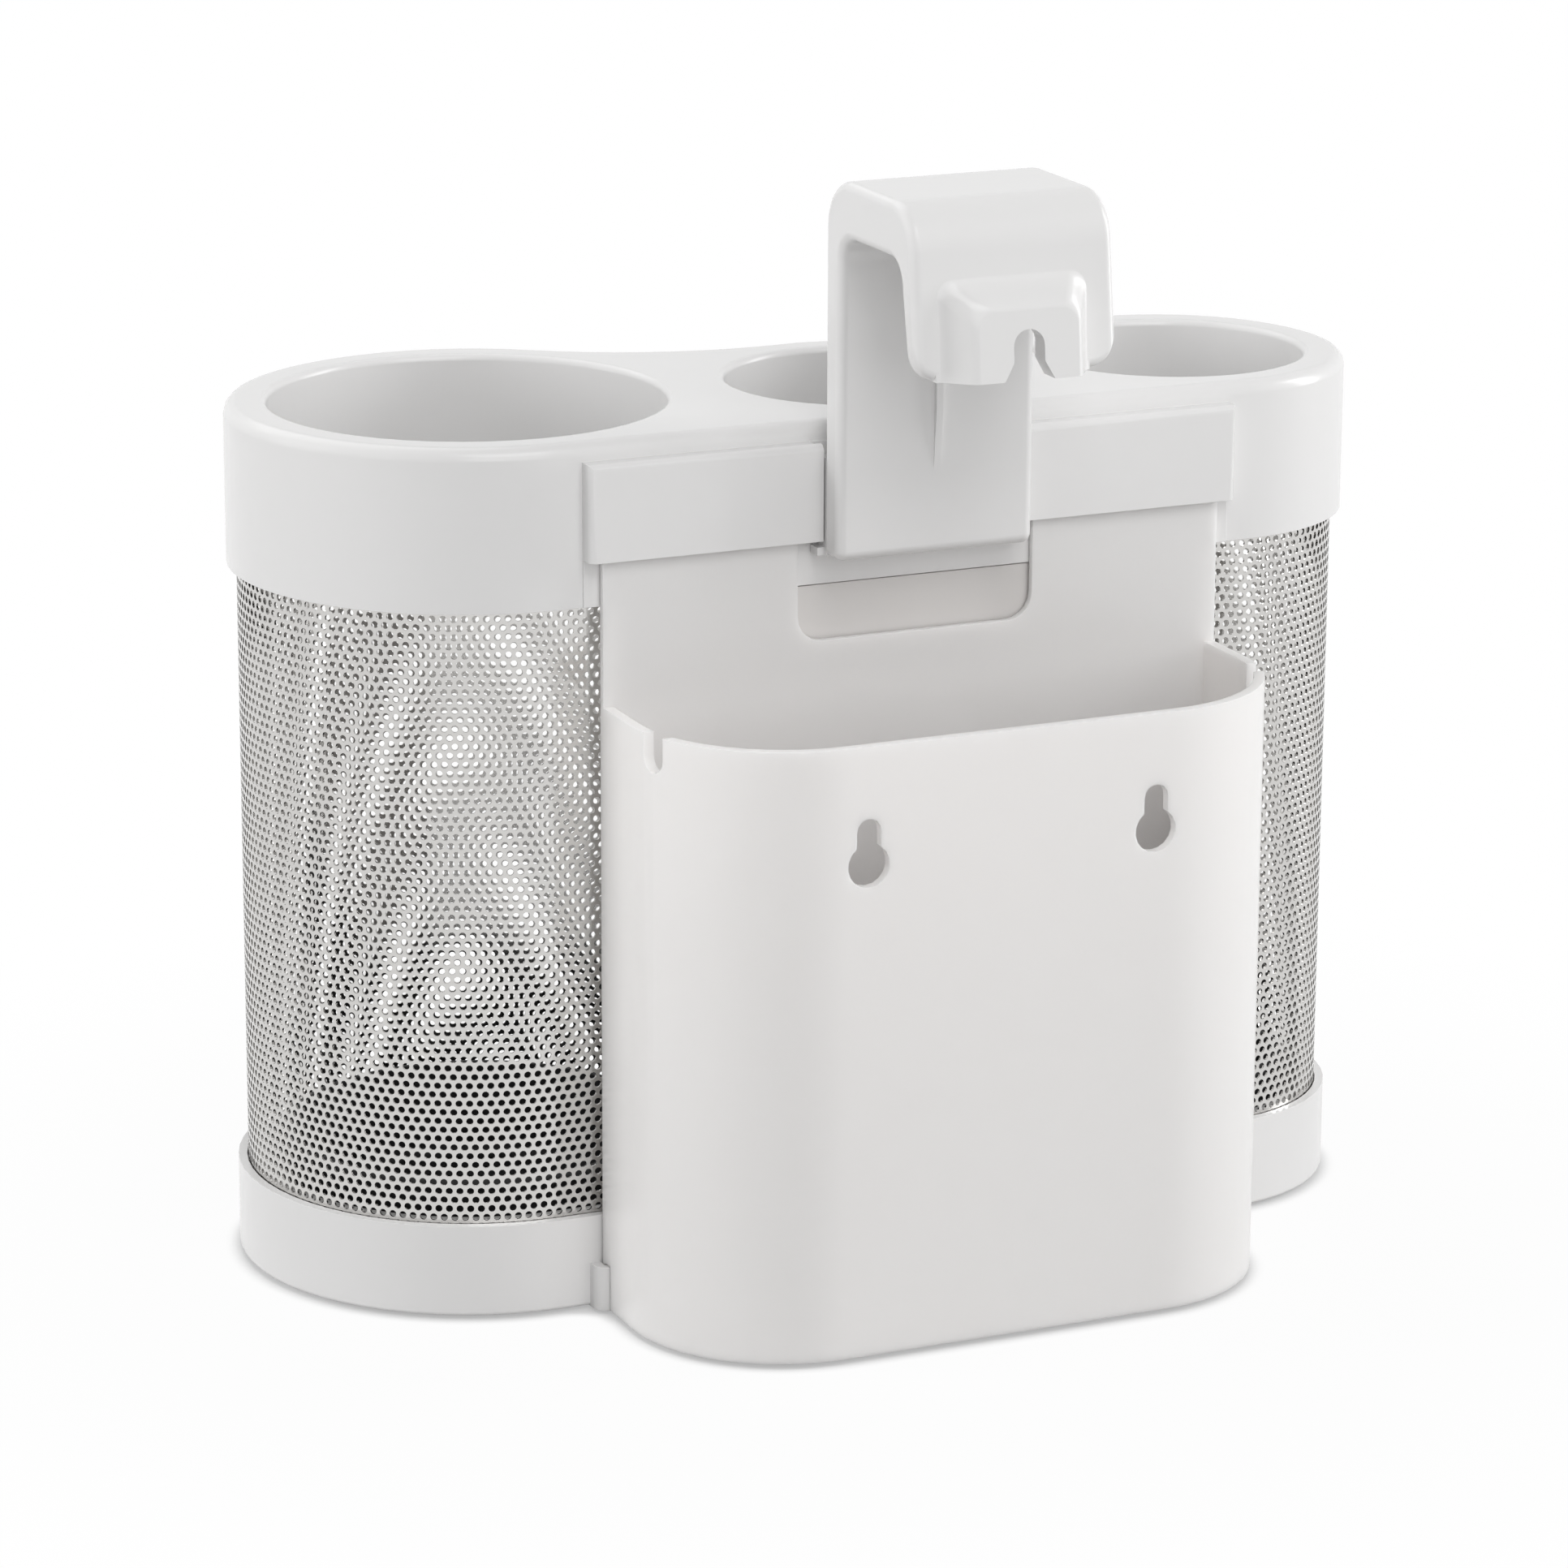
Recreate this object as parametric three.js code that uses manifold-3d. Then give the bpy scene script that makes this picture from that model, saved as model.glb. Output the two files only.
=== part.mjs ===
// Holder for hair styling tools: it stands on a counter or hangs on a towel bar.
// Units are millimetres. +Z is up, the lobed front faces -Y and the cord bin faces +Y.
// The origin lies on the floor, in the middle of the overall width and depth.
import * as THREE from "three";
import { mergeVertices } from "three/addons/utils/BufferGeometryUtils.js";
import Module from "manifold-3d";

const wasm = await Module();
wasm.setup();

// Fits
const clearance = 0.3;
const slidingClearance = 0.6;
const overcut = 2;
const weld = 1;

// Three tool holes in one row, all tangent to one rear plane
const largeHoleRadius = 45;
const smallHoleRadius = 31.4;
const rimWidth = 9.6;
const largeToMiddle = 91;
const middleToSmall = 78.4;
const valleyRadius = 80;

// Top housing
const housingTop = 200;
const skirtHeight = 36.7;
const shellWall = 2;
const topPlate = 2.4;
const topEdgeRound = 3;
const holeEdgeRound = 1.5;
const collarWall = 2;
const collarDepth = 30;

// Rear pad and bar of the housing, with the slot behind the bar
const padProud = 0.5;
const barOverhang = 3.4;
const barTopDrop = 4.2;
const barHeight = 21.9;
const barWall = 1.7;
const barLedge = 3;
const barRound = 1.7;

// Perforated sleeve, open at the rear
const sheet = 0.5;
const sleeveTail = 20;
const sleeveInHousing = 14;

// Plain grid of openings that stands for the sleeve's fine perforation
const gridColumns = 24;
const gridRows = 3;
const gridMargin = 5;
const gridBarAcross = 9.5;
const gridBarUp = 17.4;

// Base tray
const baseRim = 22.2;
const baseFloor = 2.5;
const baseEdgeRound = 1;
const innerLipRise = 2.6;
const innerLipWall = 1.8;
const cupRingHeight = 4;
const cupRingWall = 1.6;

// Rubber feet
const footRadius = 6;
const footHeight = 1.6;
const footProud = 0.8;
const footInset = 20;

// Rear spine between the base and the housing
const spineOverlap = 7;
const tongueInset = 6.7;
const tongueHeight = 24;
const spineRib = 1.8;
const spineRibDepth = 3;

// Countersunk screws
const screwRadius = 1.5;
const screwHeadRadius = 3;
const screwHeadDepth = 1.6;
const screwLength = 6.4;
const screwInset = 13;
const upperScrewRise = 5.4;
const lowerScrewDrop = 10;

// Cord bin
const binWidth = 150.8;
const binDepth = 53.2;
const binRim = 140.8;
const binLift = 1.1;
const binWall = 2.4;
const binFloor = 2.2;
const binCornerRadius = 35.5;
const panelWall = 1.8;
const windowMargin = 3.8;
const windowRound = 6;
const cordSlotWidth = 6.5;
const cordSlotDepth = 8.5;
const cordSlotReach = 26.6;
const keyholeSpacing = 69.4;
const keyholeHeight = 114.1;
const keyholeRadius = 4.95;
const keySlotWidth = 5.8;
const keySlotRise = 10.5;

// Clips of the base that hold the bin's lower corners
const clipHeight = 10.3;
const clipWall = 2.4;
const clipLip = 2.5;
const clipLipThickness = 2;

// Hanging hook
const hookWidth = 47.7;
const hookRise = 56;
const hookLeg = 8;
const hookGap = 30.7;
const hookLip = 6.1;
const hookArch = 12.5;
const hookOuterRound = 11;
const hookInnerRound = 6;
const hookEdgeRound = 2.2;
const legFootRound = 2.5;
const hookTravel = 19.5;
const travelSpare = 0.5;
const flangeReach = 1.2;
const footTabHeight = 1.8;
const catchGap = 1.3;

// Lip of the hook, with a hollow boss and a notch
const lipDrop = 37.3;
const lipLean = 2.4;
const lipCorner = 6;
const lipTipRound = 2.5;
const bossOffset = -0.5;
const bossWidth = 33.7;
const bossHeight = 22.1;
const bossProud = 5.5;
const bossSideRamp = 5.2;
const bossTopRamp = 7.2;
const bossCorner = 4;
const bossSteps = 6;
const pocketWall = 5.4;
const pocketWidth = 18.6;
const pocketHeight = 13.7;
const pocketCorner = 3;
const notchWidth = 7.3;
const notchHeight = 11;
const notchMouth = 11.8;
const notchFlare = 4;

// Grip rib on the hook's leg
const ribWidth = 1.6;
const ribProud = 1.2;
const ribDrop = 53.5;
const ribTaper = 14;

// Silicone heat cups
const cupHeight = 25.4;
const cupWall = 2;
const cupFloor = 2.4;
const cupBottomRound = 3;
const cupRimBead = 0.8;

// Round stretches
const chordError = 0.08;
const holeSegments = 48;
const cupSegments = 32;
const screwSegments = 12;
const footSegments = 20;
const edgeSteps = 3;

// Places that follow from the sizes above
const largeOuter = largeHoleRadius + rimWidth;
const smallOuter = smallHoleRadius + rimWidth;
const overallWidth = largeOuter + largeToMiddle + middleToSmall + smallOuter;
const binStack = padProud + clearance + binDepth;
const barStack = padProud + clearance + panelWall + clearance + barWall;
const hookStack = barStack + clearance + hookLeg + hookGap + hookLip + lipLean + bossProud;
const rearY = largeOuter - Math.max(binStack, hookStack) / 2;
const largeX = overallWidth / 2 - largeOuter;
const middleX = largeX - largeToMiddle;
const smallX = middleX - middleToSmall;
const rearX = (largeX + smallX) / 2;
const lobes = {
  large: { x: largeX, y: rearY - largeOuter, hole: largeHoleRadius, outer: largeOuter },
  middle: { x: middleX, y: rearY - smallOuter, hole: smallHoleRadius, outer: smallOuter },
  small: { x: smallX, y: rearY - smallOuter, hole: smallHoleRadius, outer: smallOuter },
};
const skirtBottom = housingTop - skirtHeight;
const sleeveInset = shellWall + clearance;
const lipInset = sleeveInset + sheet + clearance;
const baseBottom = footProud;
const floorTop = baseBottom + baseFloor;
const padY = rearY + padProud;
const panelBackY = padY + clearance;
const panelFrontY = panelBackY + panelWall;
const barInnerY = panelFrontY + clearance;
const barFaceY = barInnerY + barWall;
const binRearY = panelBackY + binDepth;
const barTop = housingTop - barTopDrop;
const barBottom = barTop - barHeight;
const barWidth = binWidth + 2 * (clearance + barOverhang);
const tongueFrontY = rearY - rimWidth + collarWall + slidingClearance;
const sleeveEdge = (largeX - smallX) / 2 - sleeveTail;
const tongueHalf = sleeveEdge - tongueInset;
const hookBackY = barFaceY + clearance;
const legFaceY = hookBackY + hookLeg;
const lipInnerY = legFaceY + hookGap;
const lipOuterY = lipInnerY + hookLip;
const hookTop = housingTop + hookRise;
const archUnderside = hookTop - hookArch;
const lipLow = hookTop - lipDrop;
const lipTop = hookTop - hookOuterRound;
const bossFaceY = lipOuterY + lipLean + bossProud;
const bossX = rearX + bossOffset;
const legLow = barBottom - catchGap - footTabHeight;
const hookHalf = hookWidth / 2;
const flangeHalf = hookHalf + flangeReach;
const flangeTop = barTop - barLedge;

// A manifold solid from a three.js geometry
function toSolid(geometry) {
  const bare = geometry.index ? geometry.toNonIndexed() : geometry.clone();
  bare.deleteAttribute("normal");
  bare.deleteAttribute("uv");
  const merged = mergeVertices(bare, 1e-5);
  const mesh = new wasm.Mesh({
    numProp: 3,
    vertProperties: new Float32Array(merged.attributes.position.array),
    triVerts: new Uint32Array(merged.index.array),
  });
  return new wasm.Manifold(mesh);
}

// A three.js geometry from a manifold solid
function toGeometry(solid) {
  const mesh = solid.getMesh();
  const geometry = new THREE.BufferGeometry();
  geometry.setAttribute("position", new THREE.BufferAttribute(mesh.vertProperties, 3));
  geometry.setIndex(new THREE.BufferAttribute(mesh.triVerts, 1));
  geometry.computeVertexNormals();
  return geometry;
}

// A named mesh with its own finish
function makePiece(name, solid, finish) {
  const mesh = new THREE.Mesh(toGeometry(solid), new THREE.MeshStandardMaterial(finish));
  mesh.name = name;
  return mesh;
}

// A box between two corners
function boxBetween(from, to) {
  const size = to.map((value, axis) => value - from[axis]);
  const middle = to.map((value, axis) => (value + from[axis]) / 2);
  return toSolid(new THREE.BoxGeometry(...size).translate(...middle));
}

// A prism that stands on z0 and ends at z1, over an outline in X and Y
function prismZ(points, z0, z1) {
  const options = { depth: z1 - z0, bevelEnabled: false };
  const geometry = new THREE.ExtrudeGeometry(new THREE.Shape(points), options);
  return toSolid(geometry.translate(0, 0, z0));
}

// A prism along Y from y0 to y1, over an outline in X and Z
function prismY(points, y0, y1) {
  const options = { depth: y1 - y0, bevelEnabled: false };
  const geometry = new THREE.ExtrudeGeometry(new THREE.Shape(points), options);
  return toSolid(geometry.rotateX(Math.PI / 2).translate(0, y1, 0));
}

// A prism along X about a middle plane, over an outline in Y and Z, with its edges rounded
function prismX(points, middle, width, round = 0) {
  const options = { depth: width - 2 * round, bevelEnabled: round > 0, bevelSegments: edgeSteps };
  options.bevelThickness = round;
  options.bevelSize = round;
  options.bevelOffset = -round;
  const geometry = new THREE.ExtrudeGeometry(new THREE.Shape(points), options);
  geometry.translate(0, 0, round - width / 2);
  const turn = new THREE.Matrix4().set(0, 0, 1, middle, 1, 0, 0, 0, 0, 1, 0, 0, 0, 0, 0, 1);
  return toSolid(geometry.applyMatrix4(turn));
}

// A solid turned about a vertical axis from a closed profile of radius and height
function turned(profile, x, y, segments) {
  const points = profile.map(([radius, height]) => new THREE.Vector2(radius, height));
  const geometry = new THREE.LatheGeometry(points, segments);
  return toSolid(geometry.rotateX(Math.PI / 2).translate(x, y, 0));
}

// Points along an arc, with both ends; the nominal radius sets how many there are
function arcPoints(x, y, radius, start, end, nominal = radius) {
  const step = 2 * Math.acos(1 - chordError / nominal);
  const steps = Math.max(2, Math.ceil(Math.abs(end - start) / step));
  const angles = Array.from({ length: steps + 1 }, (_, i) => start + ((end - start) * i) / steps);
  const at = (angle) => new THREE.Vector2(x + radius * Math.cos(angle), y + radius * Math.sin(angle));
  return angles.map(at);
}

// A rectangle between two corners, with a radius for each corner from the lower left round
function roundedRectangle(x0, y0, x1, y1, radii) {
  const quarter = Math.PI / 2;
  const corners = [[x0, y0, 1, 1, 2], [x1, y0, -1, 1, 3], [x1, y1, -1, -1, 4], [x0, y1, 1, -1, 5]];
  return corners.flatMap(([x, y, sx, sy, turn], i) => {
    const radius = radii[i];
    if (radius === 0) return [new THREE.Vector2(x, y)];
    return arcPoints(x + sx * radius, y + sy * radius, radius, turn * quarter, (turn + 1) * quarter);
  });
}

// Middle of the hollow arc that joins two lobes in front
function valleyCentre(left, right) {
  const between = new THREE.Vector2(right.x - left.x, right.y - left.y);
  const span = between.length();
  const fromLeft = left.outer + valleyRadius;
  const fromRight = right.outer + valleyRadius;
  const along = (fromLeft ** 2 - fromRight ** 2 + span ** 2) / (2 * span);
  const out = Math.sqrt(fromLeft ** 2 - along ** 2);
  const unit = between.divideScalar(span);
  const x = left.x + along * unit.x + out * unit.y;
  const y = left.y + along * unit.y - out * unit.x;
  return new THREE.Vector2(x, y);
}

// Open path round the lobes at an inset: it starts and ends at the outer lobes' rear tangents
function lobedPath(inset) {
  const turn = 2 * Math.PI;
  const order = [lobes.small, lobes.middle, lobes.large];
  const valleys = [valleyCentre(order[0], order[1]), valleyCentre(order[1], order[2])];
  const angleTo = (from, to) => Math.atan2(to.y - from.y, to.x - from.x);
  const points = [];
  order.forEach((lobe, i) => {
    const start = i === 0 ? Math.PI / 2 : angleTo(lobe, valleys[i - 1]) + turn;
    const end = i === 2 ? turn + Math.PI / 2 : angleTo(lobe, valleys[i]) + turn;
    points.push(...arcPoints(lobe.x, lobe.y, lobe.outer - inset, start, end, lobe.outer));
    if (i === 2) return;
    const valley = valleys[i];
    const from = angleTo(valley, lobe);
    const to = angleTo(valley, order[i + 1]);
    const hollow = arcPoints(valley.x, valley.y, valleyRadius + inset, from, to, valleyRadius);
    points.push(...hollow.slice(1, -1));
  });
  return points;
}

// Closed surface through a stack of outlines that have the same number of points
function loft(rings) {
  const count = rings[0].points.length;
  const position = rings.flatMap(({ points, z }) => points.flatMap((p) => [p.x, p.y, z]));
  const index = [];
  for (let level = 0; level < rings.length - 1; level += 1) {
    for (let i = 0; i < count; i += 1) {
      const a = level * count + i;
      const b = level * count + ((i + 1) % count);
      index.push(a, b, b + count, a, b + count, a + count);
    }
  }
  const cap = THREE.ShapeUtils.triangulateShape(rings[0].points, []);
  const top = (rings.length - 1) * count;
  cap.forEach(([a, b, c]) => index.push(c, b, a, top + a, top + b, top + c));
  const geometry = new THREE.BufferGeometry();
  geometry.setAttribute("position", new THREE.Float32BufferAttribute(position, 3));
  geometry.setIndex(index);
  return geometry;
}

// Heights and insets along a quarter-round edge, from its upright end to its level end
function quarterRound(radius) {
  const steps = radius > 0 ? edgeSteps : 0;
  return Array.from({ length: steps + 1 }, (_, i) => {
    const angle = ((Math.PI / 2) * i) / Math.max(steps, 1);
    return { inward: radius * (1 - Math.cos(angle)), drop: radius * (1 - Math.sin(angle)) };
  });
}

// Lobed block with quarter-round edges at the bottom and the top
function lobedBlock(z0, z1, bottomRound, topRound) {
  const lower = quarterRound(bottomRound).reverse();
  const upper = quarterRound(topRound);
  const rings = [
    ...lower.map(({ inward, drop }) => ({ points: lobedPath(inward), z: z0 + drop })),
    ...upper.map(({ inward, drop }) => ({ points: lobedPath(inward), z: z1 - drop })),
  ];
  return toSolid(loft(rings));
}

// Path of the sleeve at an inset: round the lobes, with a straight tail at each end
function sleevePath(inset) {
  const path = lobedPath(inset);
  const rear = path[0].y;
  const start = new THREE.Vector2(path[0].x + sleeveTail, rear);
  const end = new THREE.Vector2(path[path.length - 1].x - sleeveTail, rear);
  return [start, ...path, end];
}

// Boxes that cut the grid of openings, square to the sheet at even steps along its path
function sleeveOpenings() {
  const path = sleevePath(sleeveInset + sheet / 2);
  const steps = path.slice(1).map((point, i) => point.distanceTo(path[i]));
  const pitch = steps.reduce((sum, step) => sum + step, 0) / gridColumns;
  const low = baseRim + innerLipRise + gridMargin;
  const rise = (skirtBottom - gridMargin - low) / gridRows;
  const boxes = [];
  for (let column = 0; column < gridColumns; column += 1) {
    let along = (column + 0.5) * pitch;
    let i = 0;
    while (along > steps[i]) {
      along -= steps[i];
      i += 1;
    }
    const spot = path[i].clone().lerp(path[i + 1], along / steps[i]);
    const turn = Math.atan2(path[i + 1].y - path[i].y, path[i + 1].x - path[i].x);
    for (let row = 0; row < gridRows; row += 1) {
      const box = new THREE.BoxGeometry(pitch - gridBarAcross, 2 * overcut, rise - gridBarUp);
      boxes.push(toSolid(box.rotateZ(turn).translate(spot.x, spot.y, low + (row + 0.5) * rise)));
    }
  }
  return wasm.Manifold.union(boxes);
}

// Hole through the top with a rounded upper edge
function toolHole(lobe) {
  const top = housingTop;
  const round = quarterRound(holeEdgeRound).map(({ inward, drop }) => [lobe.hole + inward, top - drop]);
  const wide = lobe.hole + holeEdgeRound;
  const low = top - collarDepth - overcut;
  const profile = [[0, low], [lobe.hole, low], ...round, [wide, top + overcut], [0, top + overcut]];
  return turned(profile, lobe.x, lobe.y, holeSegments);
}

// Bar across the rear of the housing, before its slots are cut
function barBlock() {
  const half = barWidth / 2;
  const root = rearY - shellWall / 2;
  const side = roundedRectangle(root, barBottom, barFaceY, barTop, [0, 0, barRound, 0]);
  const plan = roundedRectangle(rearX - half, root, rearX + half, barFaceY, [0, 0, barRound, barRound]);
  return prismX(side, rearX, barWidth).intersect(prismZ(plan, barBottom - overcut, barTop + overcut));
}

// Holes for the screws that tie the spine to the housing or the base, with their countersinks
function screwCutter(x, faceY, z) {
  const shank = screwRadius + clearance;
  const head = screwHeadRadius + clearance;
  const tip = -screwLength - clearance;
  const bore = [[0, tip], [shank, tip], [shank, -screwHeadDepth]];
  const sink = [[head, 0], [head, overcut], [0, overcut]];
  return placeScrew(turned([...bore, ...sink], 0, 0, screwSegments), x, faceY, z);
}

// Turns a solid whose axis is Z so that its top faces +Y, and puts it on a face
function placeScrew(solid, x, faceY, z) {
  return solid.rotate([-90, 0, 0]).translate([x, faceY, z]);
}

const screwReach = tongueHalf - screwInset;
const upperScrewZ = skirtBottom + upperScrewRise;
const lowerScrewZ = baseRim - lowerScrewDrop;
const screwPlaces = [
  { name: "spine_screw_upper_large_side", x: rearX + screwReach, y: padY, z: upperScrewZ },
  { name: "spine_screw_upper_small_side", x: rearX - screwReach, y: padY, z: upperScrewZ },
  { name: "spine_screw_lower_large_side", x: rearX + screwReach, y: rearY, z: lowerScrewZ },
  { name: "spine_screw_lower_small_side", x: rearX - screwReach, y: rearY, z: lowerScrewZ },
];
const screwCutters = screwPlaces.map(({ x, y, z }) => screwCutter(x, y, z));

function makeHousing() {
  const ceiling = housingTop - topPlate;
  let body = lobedBlock(skirtBottom, housingTop, 0, topEdgeRound);
  body = body.subtract(prismZ(lobedPath(shellWall), skirtBottom - overcut, ceiling));
  for (const lobe of Object.values(lobes)) {
    const low = housingTop - collarDepth;
    const high = ceiling + topPlate / 2;
    const outer = lobe.hole + collarWall;
    const collar = [[0, low], [outer, low], [outer, high], [0, high]];
    body = body.add(turned(collar, lobe.x, lobe.y, holeSegments));
  }
  const padLeft = rearX - barWidth / 2;
  const padRight = rearX + barWidth / 2;
  const padRoot = rearY - shellWall / 2;
  body = body.add(boxBetween([padLeft, padRoot, skirtBottom], [padRight, padY, barBottom + barLedge]));
  body = body.add(barBlock());
  for (const lobe of Object.values(lobes)) body = body.subtract(toolHole(lobe));
  const slots = [
    { half: binWidth / 2 + clearance, front: barInnerY, high: flangeTop },
    { half: flangeHalf + clearance, front: barInnerY, high: barTop + overcut },
    { half: hookHalf - clearance, front: barFaceY + overcut, high: barTop + overcut },
  ];
  for (const { half, front, high } of slots) {
    const slot = boxBetween([rearX - half, padY, barBottom - overcut], [rearX + half, front, high]);
    body = body.subtract(slot);
  }
  for (const cutter of screwCutters) body = body.subtract(cutter);
  return body;
}

function makeSleeve() {
  const strip = [...sleevePath(sleeveInset), ...sleevePath(sleeveInset + sheet).reverse()];
  const sheetBody = prismZ(strip, floorTop + clearance, skirtBottom + sleeveInHousing);
  return sheetBody.subtract(sleeveOpenings());
}

// Places of the rubber feet, near the front and the rear of the two outer lobes
const footPlaces = [
  { name: "rubber_foot_large_front", lobe: lobes.large, sign: -1 },
  { name: "rubber_foot_large_rear", lobe: lobes.large, sign: 1 },
  { name: "rubber_foot_small_front", lobe: lobes.small, sign: -1 },
  { name: "rubber_foot_small_rear", lobe: lobes.small, sign: 1 },
].map(({ name, lobe, sign }) => ({ name, x: lobe.x, y: lobe.y + sign * (lobe.outer - footInset) }));

function footDisc(place, radius, top) {
  return turned([[0, 0], [radius, 0], [radius, top], [0, top]], place.x, place.y, footSegments);
}

// Ring on the floor that keeps a cup in its place
function cupRing(lobe) {
  const inner = lobe.hole - slidingClearance + clearance;
  const outer = inner + cupRingWall;
  const low = floorTop - baseFloor / 2;
  const high = floorTop + cupRingHeight;
  const profile = [[inner, low], [outer, low], [outer, high], [inner, high], [inner, low]];
  return turned(profile, lobe.x, lobe.y, cupSegments);
}

// Post with a lip that traps the bin's panel against the base, on one side
function binClip(side) {
  const inner = binWidth / 2 + clearance;
  const outer = inner + clipWall;
  const back = rearY - shellWall / 2;
  const front = panelFrontY + clearance + clipLipThickness;
  const lipX = inner - clipLip;
  const round = Math.min(clipWall, clipLipThickness) / 2;
  const post = roundedRectangle(inner, back, outer, front, [0, 0, round, 0]);
  const lip = roundedRectangle(lipX, panelFrontY + clearance, outer - round, front, [0, 0, 0, round]);
  const top = baseBottom + clipHeight;
  const shape = prismZ(post, baseBottom, top).add(prismZ(lip, baseBottom, top));
  const placed = side > 0 ? shape : shape.mirror([1, 0, 0]);
  return placed.translate([rearX, 0, 0]);
}

function makeBase() {
  let body = lobedBlock(baseBottom, baseRim, baseEdgeRound, 0);
  body = body.subtract(prismZ(lobedPath(shellWall), floorTop, baseRim + overcut));
  let lip = prismZ(lobedPath(lipInset), floorTop - baseFloor / 2, baseRim + innerLipRise);
  const lipCutTop = baseRim + innerLipRise + overcut;
  lip = lip.subtract(prismZ(lobedPath(lipInset + innerLipWall), floorTop - baseFloor, lipCutTop));
  const gapHalf = tongueHalf + clearance;
  const gapFrom = [rearX - gapHalf, tongueFrontY - clearance, floorTop - baseFloor];
  lip = lip.subtract(boxBetween(gapFrom, [rearX + gapHalf, rearY, lipCutTop]));
  body = body.add(lip);
  for (const lobe of Object.values(lobes)) body = body.add(cupRing(lobe));
  for (const side of [1, -1]) body = body.add(binClip(side));
  for (const place of footPlaces) {
    body = body.subtract(footDisc(place, footRadius + clearance, footHeight + clearance));
  }
  for (const cutter of screwCutters) body = body.subtract(cutter);
  return body;
}

function makeSpine() {
  const half = sleeveEdge + spineOverlap;
  const faceBack = rearY - shellWall;
  const low = baseRim + clearance;
  const high = skirtBottom - clearance;
  let body = boxBetween([rearX - half, faceBack, low], [rearX + half, rearY, high]);

  // Tongues behind the base and the housing, each with a root on the plate
  const tongueBack = faceBack - clearance;
  const left = rearX - tongueHalf;
  const right = rearX + tongueHalf;
  const tongues = [
    { foot: floorTop + clearance, head: low + tongueHeight, rootLow: low, rootHigh: low + tongueHeight },
    { foot: high - tongueHeight, head: high + tongueHeight, rootLow: high - tongueHeight, rootHigh: high },
  ];
  for (const { foot, head, rootLow, rootHigh } of tongues) {
    body = body.add(boxBetween([left, tongueFrontY, foot], [right, tongueBack, head]));
    body = body.add(boxBetween([left, tongueBack - weld, rootLow], [right, faceBack + weld, rootHigh]));
  }

  // Upright ribs between the tongues
  const ribFront = faceBack - spineRibDepth;
  for (const edge of [left, right - spineRib]) {
    body = body.add(boxBetween([edge, ribFront, low], [edge + spineRib, faceBack + weld, high]));
  }
  for (const cutter of screwCutters) body = body.subtract(cutter);
  return body;
}

function makeScrew(place) {
  const tip = -screwLength;
  const shank = [[0, tip], [screwRadius, tip], [screwRadius, -screwHeadDepth]];
  const solid = turned([...shank, [screwHeadRadius, 0], [0, 0]], 0, 0, screwSegments);
  return placeScrew(solid, place.x, place.y, place.z);
}

// Outline of the bin in plan at an inset from its outside
function binOutline(inset, backY) {
  const half = binWidth / 2 - inset;
  const round = binCornerRadius - inset;
  return roundedRectangle(rearX - half, backY, rearX + half, binRearY - inset, [0, 0, round, round]);
}

// Round hole with a narrower slot above it
function keyholeOutline(x) {
  const half = keySlotWidth / 2;
  const meet = Math.acos(half / keyholeRadius);
  const slotTop = keyholeHeight + keySlotRise - half;
  const bowl = arcPoints(x, keyholeHeight, keyholeRadius, Math.PI - meet, 2 * Math.PI + meet);
  return [...bowl, ...arcPoints(x, slotTop, half, 0, Math.PI)];
}

function makeBin() {
  const panelTop = flangeTop - clearance;
  const half = binWidth / 2;
  let body = prismZ(binOutline(0, panelBackY), binLift, binRim);
  body = body.subtract(prismZ(binOutline(binWall, panelFrontY), binLift + binFloor, binRim + overcut));
  body = body.add(boxBetween([rearX - half, panelBackY, binLift], [rearX + half, panelFrontY, panelTop]));

  // Window that the hook's lower end slides in
  const windowHalf = flangeHalf + windowMargin;
  const windowLow = legLow - hookTravel - travelSpare;
  const windowRadii = [windowRound, windowRound, 0, 0];
  const window = roundedRectangle(
    rearX - windowHalf, windowLow, rearX + windowHalf, panelTop + overcut, windowRadii);
  body = body.subtract(prismY(window, panelBackY - overcut, panelFrontY + overcut));

  // Slots for the cords in both side walls
  const slotY = panelBackY + cordSlotReach;
  const slotHalf = cordSlotWidth / 2;
  const slotLow = binRim - cordSlotDepth;
  const slotRadii = [slotHalf, slotHalf, 0, 0];
  const slot = roundedRectangle(slotY - slotHalf, slotLow, slotY + slotHalf, binRim + overcut, slotRadii);
  body = body.subtract(prismX(slot, rearX, binWidth + 2 * overcut));

  // Keyholes, and room for the clips of the base
  const clipRoomFrom = [half - clipLip, panelFrontY, binLift - overcut];
  const clipRoomTop = baseBottom + clipHeight + clearance;
  const clipRoomFront = panelFrontY + 2 * clearance + clipLipThickness;
  const clipRoom = boxBetween(clipRoomFrom, [half + overcut, clipRoomFront, clipRoomTop]);
  body = body.subtract(clipRoom.translate([rearX, 0, 0]));
  body = body.subtract(clipRoom.mirror([1, 0, 0]).translate([rearX, 0, 0]));
  for (const side of [-1, 1]) {
    const keyhole = keyholeOutline(rearX + (side * keyholeSpacing) / 2);
    body = body.subtract(prismY(keyhole, binRearY - binWall - overcut, binRearY + overcut));
  }
  return body;
}

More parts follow.
